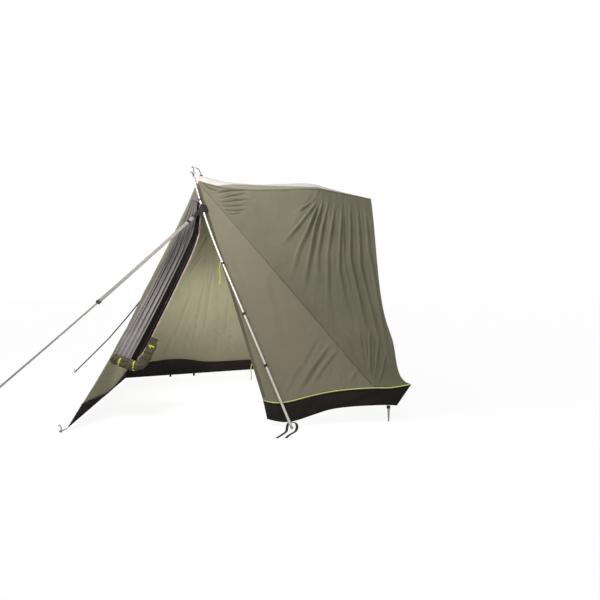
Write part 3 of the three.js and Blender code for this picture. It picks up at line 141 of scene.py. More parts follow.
def ranged(tree, value, low, high):
    """Stretches a value between two marks to 0 to 1."""
    made = node(tree, "MapRange", From_Min=low, From_Max=high)
    made.interpolation_type = "SMOOTHSTEP"
    tree.links.new(value, made.inputs["Value"])
    return made.outputs["Result"]


def bumped(tree, shader, heights):
    """A chain of bumps: (height socket, strength, distance in metres)."""
    last = None
    for height, strength, distance in heights:
        bump = node(tree, "Bump", Strength=strength, Distance=distance)
        tree.links.new(height, bump.inputs["Height"])
        if last:
            tree.links.new(last, bump.inputs["Normal"])
        last = bump.outputs["Normal"]
    tree.links.new(last, shader.inputs["Normal"])


WAVE_PERIOD = 0.31416


def bands(tree, where, period, direction="X", sharpness=1.0, distortion=0.0):
    """Lines across one direction, from 0 to 1, with this period in metres."""
    wave = node(tree, "TexWave", Scale=WAVE_PERIOD / period, Distortion=distortion, Detail=1.0)
    wave.bands_direction = direction
    tree.links.new(where, wave.inputs["Vector"])
    if sharpness == 1.0:
        return wave.outputs["Fac"]
    return counted(tree, "POWER", wave.outputs["Fac"], sharpness)


print("finish helpers ready")

# %% [markdown]
# Every new piece starts as a bmesh and becomes an object at the origin, with its
# place in its mesh. A tube or strap is one ring or one edge that is extruded from
# point to point along its route, which keeps its faces in even rows.

# %% Helpers for pieces
MERGE = 1e-5


def finish_piece(name, bm, finishes, body="tent", smooth=True):
    """A bmesh becomes a named object that rides on a body."""
    bmesh.ops.remove_doubles(bm, verts=bm.verts, dist=MERGE)
    mesh = bpy.data.meshes.new(name)
    bm.to_mesh(mesh)
    bm.free()
    for face in mesh.polygons:
        face.use_smooth = smooth
    piece = bpy.data.objects.new(name, mesh)
    bpy.context.scene.collection.objects.link(piece)
    for finish in finishes if isinstance(finishes, (list, tuple)) else [finishes]:
        mesh.materials.append(finish)
    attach(piece, body)
    return piece


def smooth_route(points, step):
    """Even points on a smooth curve through some places."""
    points = [Vector(p) for p in points]
    full = [points[0] * 2 - points[1], *points, points[-1] * 2 - points[-2]]
    dense = []
    for a, b, c, d in zip(full, full[1:], full[2:], full[3:]):
        for i in range(24):
            t = i / 24
            dense.append(0.5 * (2 * b + (c - a) * t + (2 * a - 5 * b + 4 * c - d) * t * t
                                + (3 * b - a - 3 * c + d) * t ** 3))
    dense.append(points[-1])
    lengths = np.concatenate([[0], np.cumsum([(q - p).length for p, q in zip(dense, dense[1:])])])
    count = max(2, round(lengths[-1] / step))
    marks = np.linspace(0, lengths[-1], count + 1)
    xyz = np.array(dense)
    return [Vector([np.interp(m, lengths, xyz[:, k]) for k in range(3)]) for m in marks]


def route_length(points):
    return sum((q - p).length for p, q in zip(points, points[1:]))


def ways_along(points):
    """The direction of travel at each point."""
    ends = [points[0], *points, points[-1]]
    return [(after - before).normalized() for before, after in zip(ends, ends[2:])]


def extruded_tube(points, radius, segments=12, closed=True):
    """A round tube; radius is a number or one for each point."""
    bm = bmesh.new()
    sizes = radius if isinstance(radius, (list, tuple)) else [radius] * len(points)
    ways = ways_along(points)
    unit = bmesh.ops.create_circle(bm, segments=segments, radius=1.0)["verts"]
    shape = [v.co.copy() for v in unit]
    spin = ways[0].to_track_quat("Z", "Y")
    ring, edges = unit, list({e for v in unit for e in v.link_edges})
    first = list(ring)
    for i, (point, way, size) in enumerate(zip(points, ways, sizes)):
        if i:
            spin = ways[i - 1].rotation_difference(way) @ spin
            made = bmesh.ops.extrude_edge_only(bm, edges=edges)["geom"]
            fresh = [v for v in made if isinstance(v, bmesh.types.BMVert)]
            partner = {}
            for v in ring:
                for e in v.link_edges:
                    other = e.other_vert(v)
                    if other in fresh:
                        partner[v] = other
            ring = [partner[v] for v in ring]
            edges = [e for e in made if isinstance(e, bmesh.types.BMEdge)
                     and all(v in ring for v in e.verts)]
        for v, co in zip(ring, shape):
            v.co = point + spin @ (co * size)
    if closed:
        for cap in (first, ring):
            bmesh.ops.contextual_create(bm, geom=cap)
    bmesh.ops.recalc_face_normals(bm, faces=bm.faces)
    return bm


def extruded_strap(points, across, width, thickness):
    """A flat strap. across gives its width's direction, one for all or one a point."""
    bm = bmesh.new()
    acrosses = across if isinstance(across, list) else [across] * len(points)
    widths = width if isinstance(width, list) else [width] * len(points)
    uv = bm.loops.layers.uv.new("strap")
    rows = []
    for point, way, side, wide in zip(points, ways_along(points), acrosses, widths):
        side = (side - way * side.dot(way)).normalized()
        flat = side.cross(way).normalized()
        rows.append([point + side * wide * u / 2 + flat * thickness * v / 2
                     for u, v in ((-1, -0.6), (-0.9, -1), (0.9, -1), (1, -0.6), (1, 0.6), (0.9, 1), (-0.9, 1), (-1, 0.6))])
    ring = [bm.verts.new(p) for p in rows[0]]
    edges = [bm.edges.new((a, b)) for a, b in zip(ring, ring[1:] + ring[:1])]
    first, done = list(ring), 0.0
    for i, row in enumerate(rows[1:]):
        made = bmesh.ops.extrude_edge_only(bm, edges=edges)["geom"]
        fresh = {v for v in made if isinstance(v, bmesh.types.BMVert)}
        ring = [next(e.other_vert(v) for e in v.link_edges if e.other_vert(v) in fresh) for v in ring]
        edges = [e for e in made if isinstance(e, bmesh.types.BMEdge) and all(v in fresh for v in e.verts)]
        for v, co in zip(ring, row):
            v.co = co
    for cap in (first, ring):
        bmesh.ops.contextual_create(bm, geom=cap)
    bmesh.ops.recalc_face_normals(bm, faces=bm.faces)
    start, along = points[0], (points[-1] - points[0]).normalized()
    for face in bm.faces:
        for loop in face.loops:
            loop[uv].uv = ((loop.vert.co - start).dot(along), 0.0)
    return bm


print("piece helpers ready")

# %% [markdown]
# Webbing is a narrow, thick weave: fine ribs run across it and its edges are
# rounder than its face. The near guy strap is light grey; the far one has painted
# shade, a darker copy of the same grey webbing. The foot straps and loops are dark.
# Two sets of crossed waves at the size of a yarn give the ribs.

# %% Webbing and cord finishes
RIB = 0.0012


def woven_strap(name, colour, worn, rib=RIB):
    finish, tree, shader, _ = blank_finish(name)
    where = node(tree, "TexCoord").outputs["Object"]
    ribs = counted(tree, "MAXIMUM", bands(tree, where, rib, "Z"), bands(tree, where, rib * 1.3, "X"))
    wear = ranged(tree, speckle(tree, where, 60.0, 4.0), 0.45, 0.75)
    tree.links.new(mixed(tree, wear, colour, worn), shader.inputs["Base Color"])
    shader.inputs["Roughness"].default_value = 0.8
    shader.inputs["Specular IOR Level"].default_value = 0.3
    shader.inputs["Sheen Weight"].default_value = 0.2
    bumped(tree, shader, [(ribs, 0.5, 0.0005), (speckle(tree, where, 700.0), 0.3, 0.0003)])
    return finish


webbing_grey = woven_strap("webbing_grey", linear(160, 152, 146), linear(178, 170, 164))
webbing_grey_painted_shade = woven_strap("webbing_grey_painted_shade", linear(112, 103, 96), linear(134, 125, 118))
webbing_dark = woven_strap("webbing_dark", linear(30, 28, 27), linear(52, 49, 46))
cord_lime = woven_strap("cord_lime", linear(208, 228, 70), linear(220, 234, 104), 0.0016)
print("straps and cords have finishes")

# %% [markdown]
# Each guy is webbing from its buckle to the slider, and a narrower strap from there
# to a ground peg. The near one is drawn tight and the far one is slack, so it sags
# more. The routes repeat those of the CAD model.

# %% Guys
SIDES = {"near": -1, "far": 1}
GUY_WEBBING = {
    "near": [(-0.43465, -0.17569, 1.66498), (-0.64095, -0.33544, 1.43170), (-0.75883, -0.42673, 1.29891),
             (-0.87671, -0.51802, 1.16714), (-0.99460, -0.60931, 1.03639), (-1.10305, -0.69330, 0.91701)],
    "far": [(-0.43020, 0.17224, 1.65906), (-0.62474, 0.32290, 1.41015), (-0.73591, 0.40898, 1.27000),
            (-0.84708, 0.49507, 1.13404), (-0.96936, 0.58977, 0.98931)],
}
GUY_LINE = {
    "near": [(-1.10305, -0.69330, 0.91701), (-1.25040, -0.80741, 0.75619), (-1.39776, -0.92152, 0.59697),
             (-1.54511, -1.03563, 0.43935), (-1.69247, -1.14974, 0.28333), (-1.95575, -1.35363, 0.00853)],
    "far": [(-0.96936, 0.58977, 0.98931), (-1.10832, 0.69738, 0.83098), (-1.24728, 0.80499, 0.67919),
            (-1.38624, 0.91260, 0.53393), (-1.52520, 1.02021, 0.39520), (-1.95622, 1.35399, 0.00644)],
}
GUY_ACROSS = {"near": (-0.7664, 0.0550, 0.6400), "far": (-0.8021, -0.0531, 0.5948)}
STRAP_WIDTH, LINE_WIDTH, STRAP_THICKNESS = 0.028, 0.014, 0.0018

for side, sign in SIDES.items():
    for part, routes, width in (("webbing", GUY_WEBBING, STRAP_WIDTH), ("line", GUY_LINE, LINE_WIDTH)):
        route = smooth_route(routes[side], 0.04)
        # painted shade: the far guy gets a darker copy of the grey webbing
        weave = webbing_grey if side == "near" else webbing_grey_painted_shade
        strap = finish_piece(f"{side}_guy_{part}", extruded_strap(
            route, Vector(GUY_ACROSS[side]), width, STRAP_THICKNESS), weave)
        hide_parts(f"{side}_guy_strap")
        print(side, "guy", part, round(route_length(route), 3), "m")

# %% [markdown]
# A band of webbing goes round each pole's foot, and its two tails lie on the ground.
# Both tails start behind the pole, so each is its own limp cord from there.

# %% Foot straps
FOOT_X = 1.05499
FOOT_MIDDLE = (700, 1019, 40)
FOOT_TAILS = {
    "front": [(728, 1023, 34), (738, 1044, 14), (752, 1100, 0), (790, 1165, 0), (833, 1223, 0)],
    "rear": [(672, 1031, 34), (668, 1062, 14), (688, 1110, 0), (741, 1180, 0), (768, 1233, 0)],
}
FOOT_WIDTH, FOOT_THICKNESS = 0.020, 0.0018


def foot_place(place, sign):
    run, half, height = place
    return Vector((FOOT_X - run / 1000, sign * half / 1000, height / 1000 + FOOT_THICKNESS / 2 + 0.0002))


for side, sign in SIDES.items():
    for end, places in FOOT_TAILS.items():
        route = smooth_route([foot_place(p, sign) for p in [FOOT_MIDDLE, *places]], 0.012)
        for point in route:
            point.z = max(point.z, FOOT_THICKNESS / 2 + 0.0002)
        tail = finish_piece(f"{side}_foot_tail_{end}", extruded_strap(
            route, [way.cross(UP) for way in ways_along(route)], FOOT_WIDTH, FOOT_THICKNESS),
            webbing_dark)
        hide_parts(f"{side}_foot_strap")
        print(tail.name, round(route_length(route), 3), "m")

# %% [markdown]
# Two short lime cords hang from the near wall's front edge. They are thin and limp,
# so they hang straight down with a slight sway, and end in a knot.

# %% Tie-back cords
TIE_RADIUS = 0.0036
TIE_BACKS = {
    "tie_back_upper": ((-0.18945, -0.2850, 1.2620), 0.200),
    "tie_back_lower": ((0.06820, -0.7591, 0.4320), 0.122),
}
TIE_SWAY = ((0, 0), (0.35, 0.05), (0.7, 0.02), (1, 0.04))
for name, (top, drop) in TIE_BACKS.items():
    route = smooth_route([Vector(top) + Vector((-drop * sway, 0, -drop * down)) for down, sway in TIE_SWAY], 0.008)
    cord = finish_piece(f"{name}_cord", extruded_tube(route, TIE_RADIUS, 10), cord_lime, name)
    bm = bmesh.new()
    bmesh.ops.create_icosphere(bm, subdivisions=2, radius=TIE_RADIUS * 1.7,
                               matrix=Matrix.Translation(route[-1] + UP * TIE_RADIUS * 1.5))
    knot = finish_piece(f"{name}_knot", bm, cord_lime, name)
    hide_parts(name)
    print(name, round(route_length(route), 3), "m")

# %% [markdown]
# Tent cloth is a thin polyester with a ripstop grid: thicker yarns cross it in small
# squares. Its colour drifts a little, as sun and folding leave it. The wall's front
# panel, below the diagonal seam, is painted a shade lighter and warmer than the rear
# one: painted light for the brighter light on that panel. Light comes through the cloth,
# and the inside's finish is also painted lighter and warmer than the outside: painted
# light for the daylight through the cloth, on top of its real translucency.

# %% Tent cloth finish
RIPSTOP = 0.0085
SEAM_SLOPE, SEAM_RISE = 1.244, 1.5095
FRONT_PAINTED_LIGHT = linear(140, 134, 113)


def between(tree, where, axis, low, high):
    """0 to 1 from one place to another along an axis."""
    parts = node(tree, "SeparateXYZ")
    tree.links.new(where, parts.inputs[0])
    return ranged(tree, parts.outputs[axis], low, high)


def tent_cloth(name, colour, faded, roughness=0.85, ripstop=0.16, crease=0.3, through=0.0, sheen=0.12,
               creased_with_painted_front=False, gloss=0.25):
    finish, tree, shader, output = blank_finish(name)
    where = node(tree, "TexCoord").outputs["Object"]
    drift = ranged(tree, speckle(tree, where, 1.6, 4.0), 0.35, 0.7)
    cloudy = ranged(tree, speckle(tree, where, 14.0), 0.5, 0.85)
    lines = counted(tree, "MAXIMUM", bands(tree, where, RIPSTOP, "X", 6.0, 0.2),
                    bands(tree, where, RIPSTOP, "Z", 6.0, 0.2))
    tone_and_painted_light = mixed(tree, cloudy, mixed(tree, drift, colour, faded), faded)
    darker = tuple(v * 0.5 for v in colour[:3]) + (1,)
    if creased_with_painted_front:
        parts = node(tree, "SeparateXYZ")
        tree.links.new(where, parts.inputs[0])
        height = counted(tree, "ADD", parts.outputs["Z"], counted(tree, "MULTIPLY", parts.outputs["X"], SEAM_SLOPE))
        # painted light: below the diagonal seam the front panel is painted lighter and warmer, for the brighter light
        # on that panel
        tone_and_painted_light = mixed(tree, ranged(tree, height, SEAM_RISE, SEAM_RISE - 0.004), tone_and_painted_light, FRONT_PAINTED_LIGHT)
    coloured = mixed(tree, counted(tree, "MULTIPLY", lines, ripstop), tone_and_painted_light, darker)
    tree.links.new(coloured, shader.inputs["Base Color"])
    shader.inputs["Roughness"].default_value = roughness
    shader.inputs["Specular IOR Level"].default_value = gloss
    shader.inputs["Sheen Weight"].default_value = sheen
    creases = speckle(tree, where, 9.0, 5.0, (1.0, 1.0, 0.5))
    thread = speckle(tree, where, 900.0, 1.0)
    heights = [(creases, crease, 0.012), (lines, 0.25, 0.0006), (thread, 0.25, 0.0004)]
    if creased_with_painted_front:
        hanging = counted(tree, "MULTIPLY", speckle(tree, where, 17.0, 4.0, (1, 1, 0.07)),
                          between(tree, where, "X", 0.35, 0.75))
        slack = counted(tree, "MULTIPLY", speckle(tree, where, 22.0, 3.0, (0.16, 1, 1)),
                        counted(tree, "MULTIPLY", between(tree, where, "Z", 1.58, 1.8),
                                between(tree, where, "X", 0.35, -0.15)))
        heights += [(hanging, 0.7, 0.02), (slack, 0.6, 0.012)]
    bumped(tree, shader, heights)
    if through:
        behind = node(tree, "BsdfTranslucent")
        tree.links.new(tone_and_painted_light, behind.inputs["Color"])
        blend = node(tree, "MixShader", Fac=through)
        tree.links.new(shader.outputs[0], blend.inputs[1])
        tree.links.new(behind.outputs[0], blend.inputs[2])
        tree.links.new(blend.outputs[0], output.inputs["Surface"])
    return finish


wall_outside = tent_cloth("wall_outside", linear(126, 123, 103), linear(137, 133, 112), ripstop=0.4,
                          through=0.1, creased_with_painted_front=True)
# painted light: the inside is painted lighter and warmer than the outside for daylight through the cloth, on top of its
# real translucency
inside_painted_light = tent_cloth("inside_painted_light", linear(158, 154, 126), linear(168, 163, 135), ripstop=0.3, through=0.25)
skirt_black = tent_cloth("skirt_black", linear(33, 30, 28), linear(45, 41, 38), 0.8, 0.05, 0.8, sheen=0.0, gloss=0.12)
print("tent cloth finishes ready")

# %% [markdown]
# The CAD model gives each cloth as a closed solid a few millimetres thick, where real
# tent cloth is a fraction of that. So each piece is rebuilt as one sheet: the outer
# skin of the solid is taken from a merged copy, its triangles are paired to quads,
# and it is subdivided until it can carry fine folds.

# %% From a cloth solid to a fine sheet
SOLID = 0.003
RIM_EDGE = 1.25 * SOLID
RIM_TURN = math.radians(50)
PAIR_TURN = math.radians(40)


def islands(bm):
    """Groups of faces that join without crossing a solid's rim."""
    thin = {f for f in bm.faces if min(e.calc_length() for e in f.edges) < RIM_EDGE}
    found, seen = [], set()
    for first in bm.faces:
        if first in seen:
            continue
        island, stack = [], [first]
        seen.add(first)
        while stack:
            face = stack.pop()
            island.append(face)
            for edge in face.edges:
                if len(edge.link_faces) != 2:
                    continue
                if edge.calc_face_angle() > RIM_TURN and thin.intersection(edge.link_faces):
                    continue
                for other in edge.link_faces:
                    if other not in seen:
                        seen.add(other)
                        stack.append(other)
        found.append(island)
    return found


def outer_skin(names, outward):
    """One bmesh of the skins of these solids that face outward."""
    whole = bmesh.new()
    for name in names:
        bm = bmesh.new()
        bm.from_mesh(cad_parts[name].data)
        bmesh.ops.remove_doubles(bm, verts=bm.verts, dist=MERGE)
        facing = lambda island: sum((f.normal * f.calc_area() for f in island), Vector()).dot(outward)
        keep = set(max(islands(bm), key=facing))
        bmesh.ops.delete(bm, geom=[f for f in bm.faces if f not in keep], context="FACES")
        bmesh.ops.join_triangles(bm, faces=bm.faces, angle_face_threshold=PAIR_TURN,
                                 angle_shape_threshold=math.pi)
        part = bpy.data.meshes.new("skin")
        bm.to_mesh(part)
        bm.free()
        whole.from_mesh(part)
        bpy.data.meshes.remove(part)
    return whole


CORNER = math.radians(140)


def subdivided(bm, levels):
    """Catmull-Clark subdivision, which keeps the corners of a sheet's rim."""
    hard = bm.verts.layers.float.get("crease_vert") or bm.verts.layers.float.new("crease_vert")
    for v in bm.verts:
        rim = [edge.other_vert(v).co - v.co for edge in v.link_edges if edge.is_boundary]
        if len(rim) == 2 and rim[0].angle(rim[1]) < CORNER:
            v[hard] = 1.0
    mesh = bpy.data.meshes.new("cage")
    bm.to_mesh(mesh)
    bm.free()
    cage = bpy.data.objects.new("cage", mesh)
    bpy.context.scene.collection.objects.link(cage)
    fine = cage.modifiers.new("fine", "SUBSURF")
    fine.levels = fine.render_levels = levels
    fine.boundary_smooth = "PRESERVE_CORNERS"
    shape = bpy.data.meshes.new_from_object(cage.evaluated_get(bpy.context.evaluated_depsgraph_get()))
    bpy.data.objects.remove(cage)
    bpy.data.meshes.remove(mesh)
    made = bmesh.new()
    made.from_mesh(shape)
    bpy.data.meshes.remove(shape)
    return made


print("sheet helpers ready")

# %% [markdown]
# A fold in taut cloth is a long low ridge with a shallow valley on each side. Each
# fold below is a line on the cloth, seen square from one side, with its width at both
# ends and its height. All fade at their ends and near seams, so seams stay together.

# %% Folds
EDGE_FADE = 0.035
WAVER = 0.004


def fold_heights(spots, folds):
    """The height that the folds give each spot, both seen in the plane of the folds."""
    total = np.zeros(len(spots))
    for line, (narrow, wide), height in folds:
        line = np.array(line, float)
        lengths = np.linalg.norm(np.diff(line, axis=0), axis=1)
        done, whole = 0.0, lengths.sum()
        near, share = np.full(len(spots), np.inf), np.zeros(len(spots))
        for a, b, size in zip(line, line[1:], lengths):
            t = np.clip(((spots - a) @ (b - a)) / size ** 2, 0, 1)
            away = np.linalg.norm(spots - (a + t[:, None] * (b - a)), axis=1)
            closer = away < near
            near[closer], share[closer] = away[closer], ((done + t * size) / whole)[closer]
            done += size
        spread = narrow + (wide - narrow) * share
        q = (near / spread) ** 2
        fade = np.clip(np.minimum(share / 0.18, (1 - share) / 0.35), 0, 1)
        total += height * fade * (1 - 0.9 * q) * np.exp(-0.9 * q)
    return total


def crumple(bm, folds, plane=(0, 2), waver=WAVER, fade_width=EDGE_FADE, seed=0.0):
    """Moves the sheet along its normals by its folds and a soft waver."""
    bm.normal_update()
    verts = list(bm.verts)
    rim = [v.co for v in verts if v.is_boundary]
    tree = KDTree(len(rim))
    for i, co in enumerate(rim):
        tree.insert(co, i)
    tree.balance()
    spots = np.array([[v.co[k] for k in plane] for v in verts])
    heights = fold_heights(spots, folds) if folds else np.zeros(len(verts))
    for v, height in zip(verts, heights):
        fade = min(1.0, tree.find(v.co)[2] / fade_width)
        fade = fade * fade * (3 - 2 * fade)
        soft = noise.fractal(v.co * 4.0 + Vector((seed, 0, 0)), 1.0, 2.0, 3) * waver
        v.co += v.normal * (height + soft) * fade


def thicken(piece, thickness, inner_slot=0):
    """Cloth thickness inwards, with the inner face in its own finish."""
    solid = piece.modifiers.new("thickness", "SOLIDIFY")
    solid.thickness, solid.offset = thickness, -1
    solid.material_offset = inner_slot
    return piece


CLOTH = 0.0008


def cloth_piece(name, names, outward, finishes, levels=2, shape=None,
                body="tent", flat=None, thickness=CLOTH):
    """A thin folded sheet that stands for one or more cloth solids."""
    bm = outer_skin(names, Vector(outward))
    area = sum(f.calc_area() for f in bm.faces)
    spots = np.array([v.co for v in bm.verts])
    bm = subdivided(bm, levels)
    bmesh.ops.remove_doubles(bm, verts=bm.verts, dist=MERGE)
    if shape:
        shape(bm)
    piece = finish_piece(name, bm, finishes, body)
    thicken(piece, thickness, len(finishes) - 1)
    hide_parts(*names)
    if flat is None:
        sides = sorted(spots.max(0) - spots.min(0))[1:]
        grow = max(1.0, math.sqrt(1.02 * area / (sides[0] * sides[1])))
        flat = (round(sides[0] * grow, 2), round(sides[1] * grow, 2))
    print(name, "faces", len(piece.data.polygons), "area", round(area, 3), "flat", flat)
    return piece


print("fold helpers ready")

# %% [markdown]
# Seen from the side, the wall's folds fan out from the tailgate's corner, run down
# along the van, lie level in the slack below the peak, and gather above the hem. Each
# row holds a line of (along, up) in metres, its widths and its height.

# %% The side walls
WALL_FOLDS = [
    ([(0.60, 1.775), (0.52, 1.711), (0.43, 1.66)], (0.012, 0.022), 0.006),
    ([(0.614, 1.75), (0.475, 1.564), (0.324, 1.394)], (0.012, 0.035), 0.009),
    ([(0.621, 1.74), (0.535, 1.509), (0.466, 1.346), (0.396, 1.079)], (0.012, 0.038), 0.011),
    ([(0.653, 1.75), (0.582, 1.491), (0.551, 1.31), (0.488, 0.929)], (0.012, 0.036), 0.012),
    ([(0.70, 1.75), (0.642, 1.504), (0.61, 1.308), (0.60, 0.98)], (0.014, 0.036), 0.011),
    ([(0.755, 1.74), (0.71, 1.501), (0.687, 1.307), (0.684, 0.949), (0.725, 0.66)], (0.014, 0.034), 0.011),
    ([(0.807, 1.73), (0.778, 1.418), (0.766, 1.175), (0.84, 0.761), (0.90, 0.58)], (0.014, 0.034), 0.011),
    ([(0.874, 1.73), (0.85, 1.255), (0.943, 0.763), (1.012, 0.50)], (0.014, 0.034), 0.011),
    ([(0.935, 1.72), (0.925, 1.206), (1.035, 0.701), (1.10, 0.34)], (0.014, 0.03), 0.010),
    ([(0.995, 1.70), (0.995, 1.335), (1.079, 0.765), (1.14, 0.34)], (0.012, 0.028), 0.009),
    ([(0.66, 1.72), (0.615, 1.50), (0.575, 1.25)], (0.008, 0.016), -0.004),
    ([(0.83, 1.70), (0.815, 1.25), (0.90, 0.78)], (0.010, 0.016), -0.005),
    ([(-0.36, 1.985), (-0.29, 1.935), (-0.215, 1.905)], (0.010, 0.016), -0.008),
    ([(-0.245, 1.885), (-0.125, 1.902), (-0.018, 1.897), (0.10, 1.885)], (0.011, 0.020), -0.012),
    ([(-0.21, 1.835), (-0.09, 1.852), (0.04, 1.860)], (0.010, 0.016), -0.009),
    ([(-0.20, 1.800), (-0.054, 1.806), (0.07, 1.808)], (0.010, 0.016), -0.009),
    ([(-0.19, 1.762), (-0.071, 1.759), (0.05, 1.756)], (0.009, 0.014), -0.009),
    ([(-0.17, 1.727), (-0.071, 1.716), (0.04, 1.712)], (0.009, 0.014), -0.009),
    ([(-0.15, 1.688), (-0.071, 1.685), (0.01, 1.690)], (0.009, 0.013), -0.007),
    ([(0.70, 0.60), (0.549, 0.422), (0.40, 0.225)], (0.014, 0.030), 0.010),
    ([(0.75, 0.55), (0.618, 0.414), (0.50, 0.26)], (0.012, 0.026), 0.009),
    ([(0.62, 0.64), (0.532, 0.502), (0.44, 0.35)], (0.012, 0.028), -0.006),
    ([(0.91, 0.43), (0.816, 0.306)], (0.012, 0.022), 0.007),
    ([(0.80, 0.70), (0.875, 0.50), (0.945, 0.29)], (0.014, 0.010), 0.008),
    ([(0.90, 0.72), (0.925, 0.50), (0.962, 0.29)], (0.013, 0.009), 0.008),
    ([(0.985, 0.72), (0.975, 0.50), (0.978, 0.29)], (0.013, 0.009), 0.008),
    ([(1.055, 0.66), (1.03, 0.48), (0.998, 0.29)], (0.013, 0.009), 0.008),
    ([(1.10, 0.52), (1.075, 0.40), (1.03, 0.28)], (0.012, 0.009), 0.007),
    ([(0.60, 0.50), (0.50, 0.37), (0.41, 0.24)], (0.010, 0.018), 0.007),
    ([(0.45, 0.45), (0.37, 0.32), (0.30, 0.20)], (0.012, 0.022), 0.007),
    ([(0.18, 1.15), (0.25, 0.80), (0.30, 0.45)], (0.05, 0.09), 0.006),
    ([(-0.10, 1.30), (0.02, 0.95), (0.14, 0.60)], (0.03, 0.06), -0.005),
]
WALL_FLAT = (1.9, 2.35)


FOLD_DEPTH, FOLD_WIDTH = 1.6, 0.75


def crumpled_wall(side):
    deep = [(line, (narrow * FOLD_WIDTH, wide * FOLD_WIDTH), height * FOLD_DEPTH)
            for line, (narrow, wide), height in WALL_FOLDS]
    return lambda bm: crumple(bm, deep, seed=0.0 if side == "near" else 7.3)



walls = {}
for side, sign in SIDES.items():
    walls[side] = cloth_piece(
        f"{side}_wall", [f"{side}_wall_front", f"{side}_wall_rear"], (-0.25, 0.9 * sign, 0.2),
        [wall_outside, inside_painted_light], 3, crumpled_wall(side),
        flat=WALL_FLAT)

# %% [markdown]
# The roof is one pale sheet between the two walls, with a little slack. The front
# leans from the peak to two pegs, and the far door closes the far side. Under each
# cloth a black skirt of coated cloth reaches the ground.

# %% Roof, front, far door and skirts
FRONT_OUT, DOOR_OUT = (-0.92, 0, 0.39), (-0.09, 0.87, 0.46)
FRONT_FOLDS = [
    ([(-0.10, 1.70), (-0.30, 1.10), (-0.42, 0.45)], (0.03, 0.08), 0.010),
    ([(0.05, 1.60), (0.02, 1.05), (0.06, 0.40)], (0.03, 0.07), 0.009),
    ([(0.12, 1.55), (0.28, 1.00), (0.45, 0.38)], (0.03, 0.08), 0.010),
    ([(-0.04, 1.45), (-0.14, 0.95), (-0.20, 0.50)], (0.02, 0.05), -0.007),
]
DOOR_FOLDS = [
    ([(-0.30, 1.60), (-0.446, 1.35), (-0.615, 1.09)], (0.012, 0.020), 0.004),
    ([(-0.37, 1.36), (-0.476, 1.215), (-0.57, 1.08)], (0.010, 0.016), -0.004),
    ([(-0.49, 1.00), (-0.597, 0.748), (-0.72, 0.44)], (0.009, 0.014), -0.013),
    ([(-0.35, 1.12), (-0.444, 0.745), (-0.55, 0.26)], (0.009, 0.014), -0.014),
    ([(-0.28, 1.22), (-0.352, 0.798), (-0.41, 0.45)], (0.009, 0.014), -0.013),
    ([(-0.12, 1.00), (-0.166, 0.556), (-0.178, 0.38)], (0.009, 0.014), -0.013),
    ([(-0.49, 0.70), (-0.570, 0.453), (-0.635, 0.22)], (0.009, 0.014), -0.013),
    ([(-0.225, 0.78), (-0.254, 0.472), (-0.278, 0.20)], (0.009, 0.012), -0.012),
    ([(-0.347, 0.60), (-0.348, 0.387), (-0.347, 0.20)], (0.008, 0.012), -0.012),
    ([(-0.095, 0.58), (-0.113, 0.378), (-0.125, 0.20)], (0.008, 0.012), -0.012),
    ([(-0.70, 0.54), (-0.779, 0.374), (-0.84, 0.22)], (0.009, 0.014), -0.012),
    ([(-0.32, 1.32), (-0.349, 1.115), (-0.38, 0.93)], (0.010, 0.016), 0.003),
    ([(-0.42, 1.75), (-0.62, 1.10), (-0.85, 0.45)], (0.020, 0.055), 0.005),
    ([(-0.30, 1.60), (-0.28, 0.95), (-0.30, 0.42)], (0.025, 0.060), 0.003),
]
ROOF_FOLDS = [
    ([(-0.30, 0.0), (0.10, 0.10), (0.55, 0.30)], (0.03, 0.06), 0.006),
    ([(-0.30, 0.0), (0.10, -0.10), (0.55, -0.30)], (0.03, 0.06), 0.006),
    ([(0.55, 0.0), (0.80, 0.02), (1.0, 0.0)], (0.03, 0.06), -0.005),
    ([(-0.32, 0.0), (0.05, 0.0), (0.48, 0.0)], (0.13, 0.17), -0.020),
]
EAVE = [(-0.3645, 0.0643), (-0.1162, 0.2204), (0.2976, 0.4806), (0.5045, 0.6106), (0.6964, 0.6874), (1.0387, 0.7185)]


def wrapped_roof(bm):
    """A slack roof, with each spot's distance from the eave for the wall cloth wrapped over it."""
    far = bm.verts.layers.float.new("eave")
    for v in bm.verts:
        spot = Vector((v.co.x, abs(v.co.y), 0))
        away = []
        for a, b in zip(EAVE, EAVE[1:]):
            a, b = Vector((*a, 0)), Vector((*b, 0))
            on, share = geometry.intersect_point_line(spot, a, b)
            away.append((spot - a.lerp(b, min(1, max(0, share)))).length)
        v[far] = min(away)
    crumple(bm, ROOF_FOLDS, (0, 1))


roof_two, tree, shader, _ = blank_finish("roof_two")
where = node(tree, "TexCoord").outputs["Object"]
eave = tree.nodes.new("ShaderNodeAttribute")
eave.attribute_name = "eave"
reach = counted(tree, "MULTIPLY", between(tree, where, "X", -0.28, 0.15), 0.16)
reach = counted(tree, "SUBTRACT", reach, counted(tree, "MULTIPLY", between(tree, where, "X", 0.15, 0.70), 0.13))
wrapped = ranged(tree, counted(tree, "SUBTRACT", reach, eave.outputs["Fac"]), 0.0, 0.012)
pale = mixed(tree, ranged(tree, speckle(tree, where, 1.6), 0.4, 0.7), linear(206, 200, 194), linear(216, 210, 204))
tree.links.new(mixed(tree, wrapped, pale, linear(140, 136, 117)), shader.inputs["Base Color"])
shader.inputs["Roughness"].default_value = 0.85
bumped(tree, shader, [(speckle(tree, where, 9.0, 5.0), 0.3, 0.012), (speckle(tree, where, 900.0), 0.25, 0.0004)])
roof = cloth_piece("pale_roof", ["roof"], UP, [roof_two, inside_painted_light], 3, wrapped_roof)
front_sheet = cloth_piece("front_sheet", ["front_panel"], FRONT_OUT, [wall_outside, inside_painted_light],
                    2, lambda bm: crumple(bm, FRONT_FOLDS, (1, 2)))
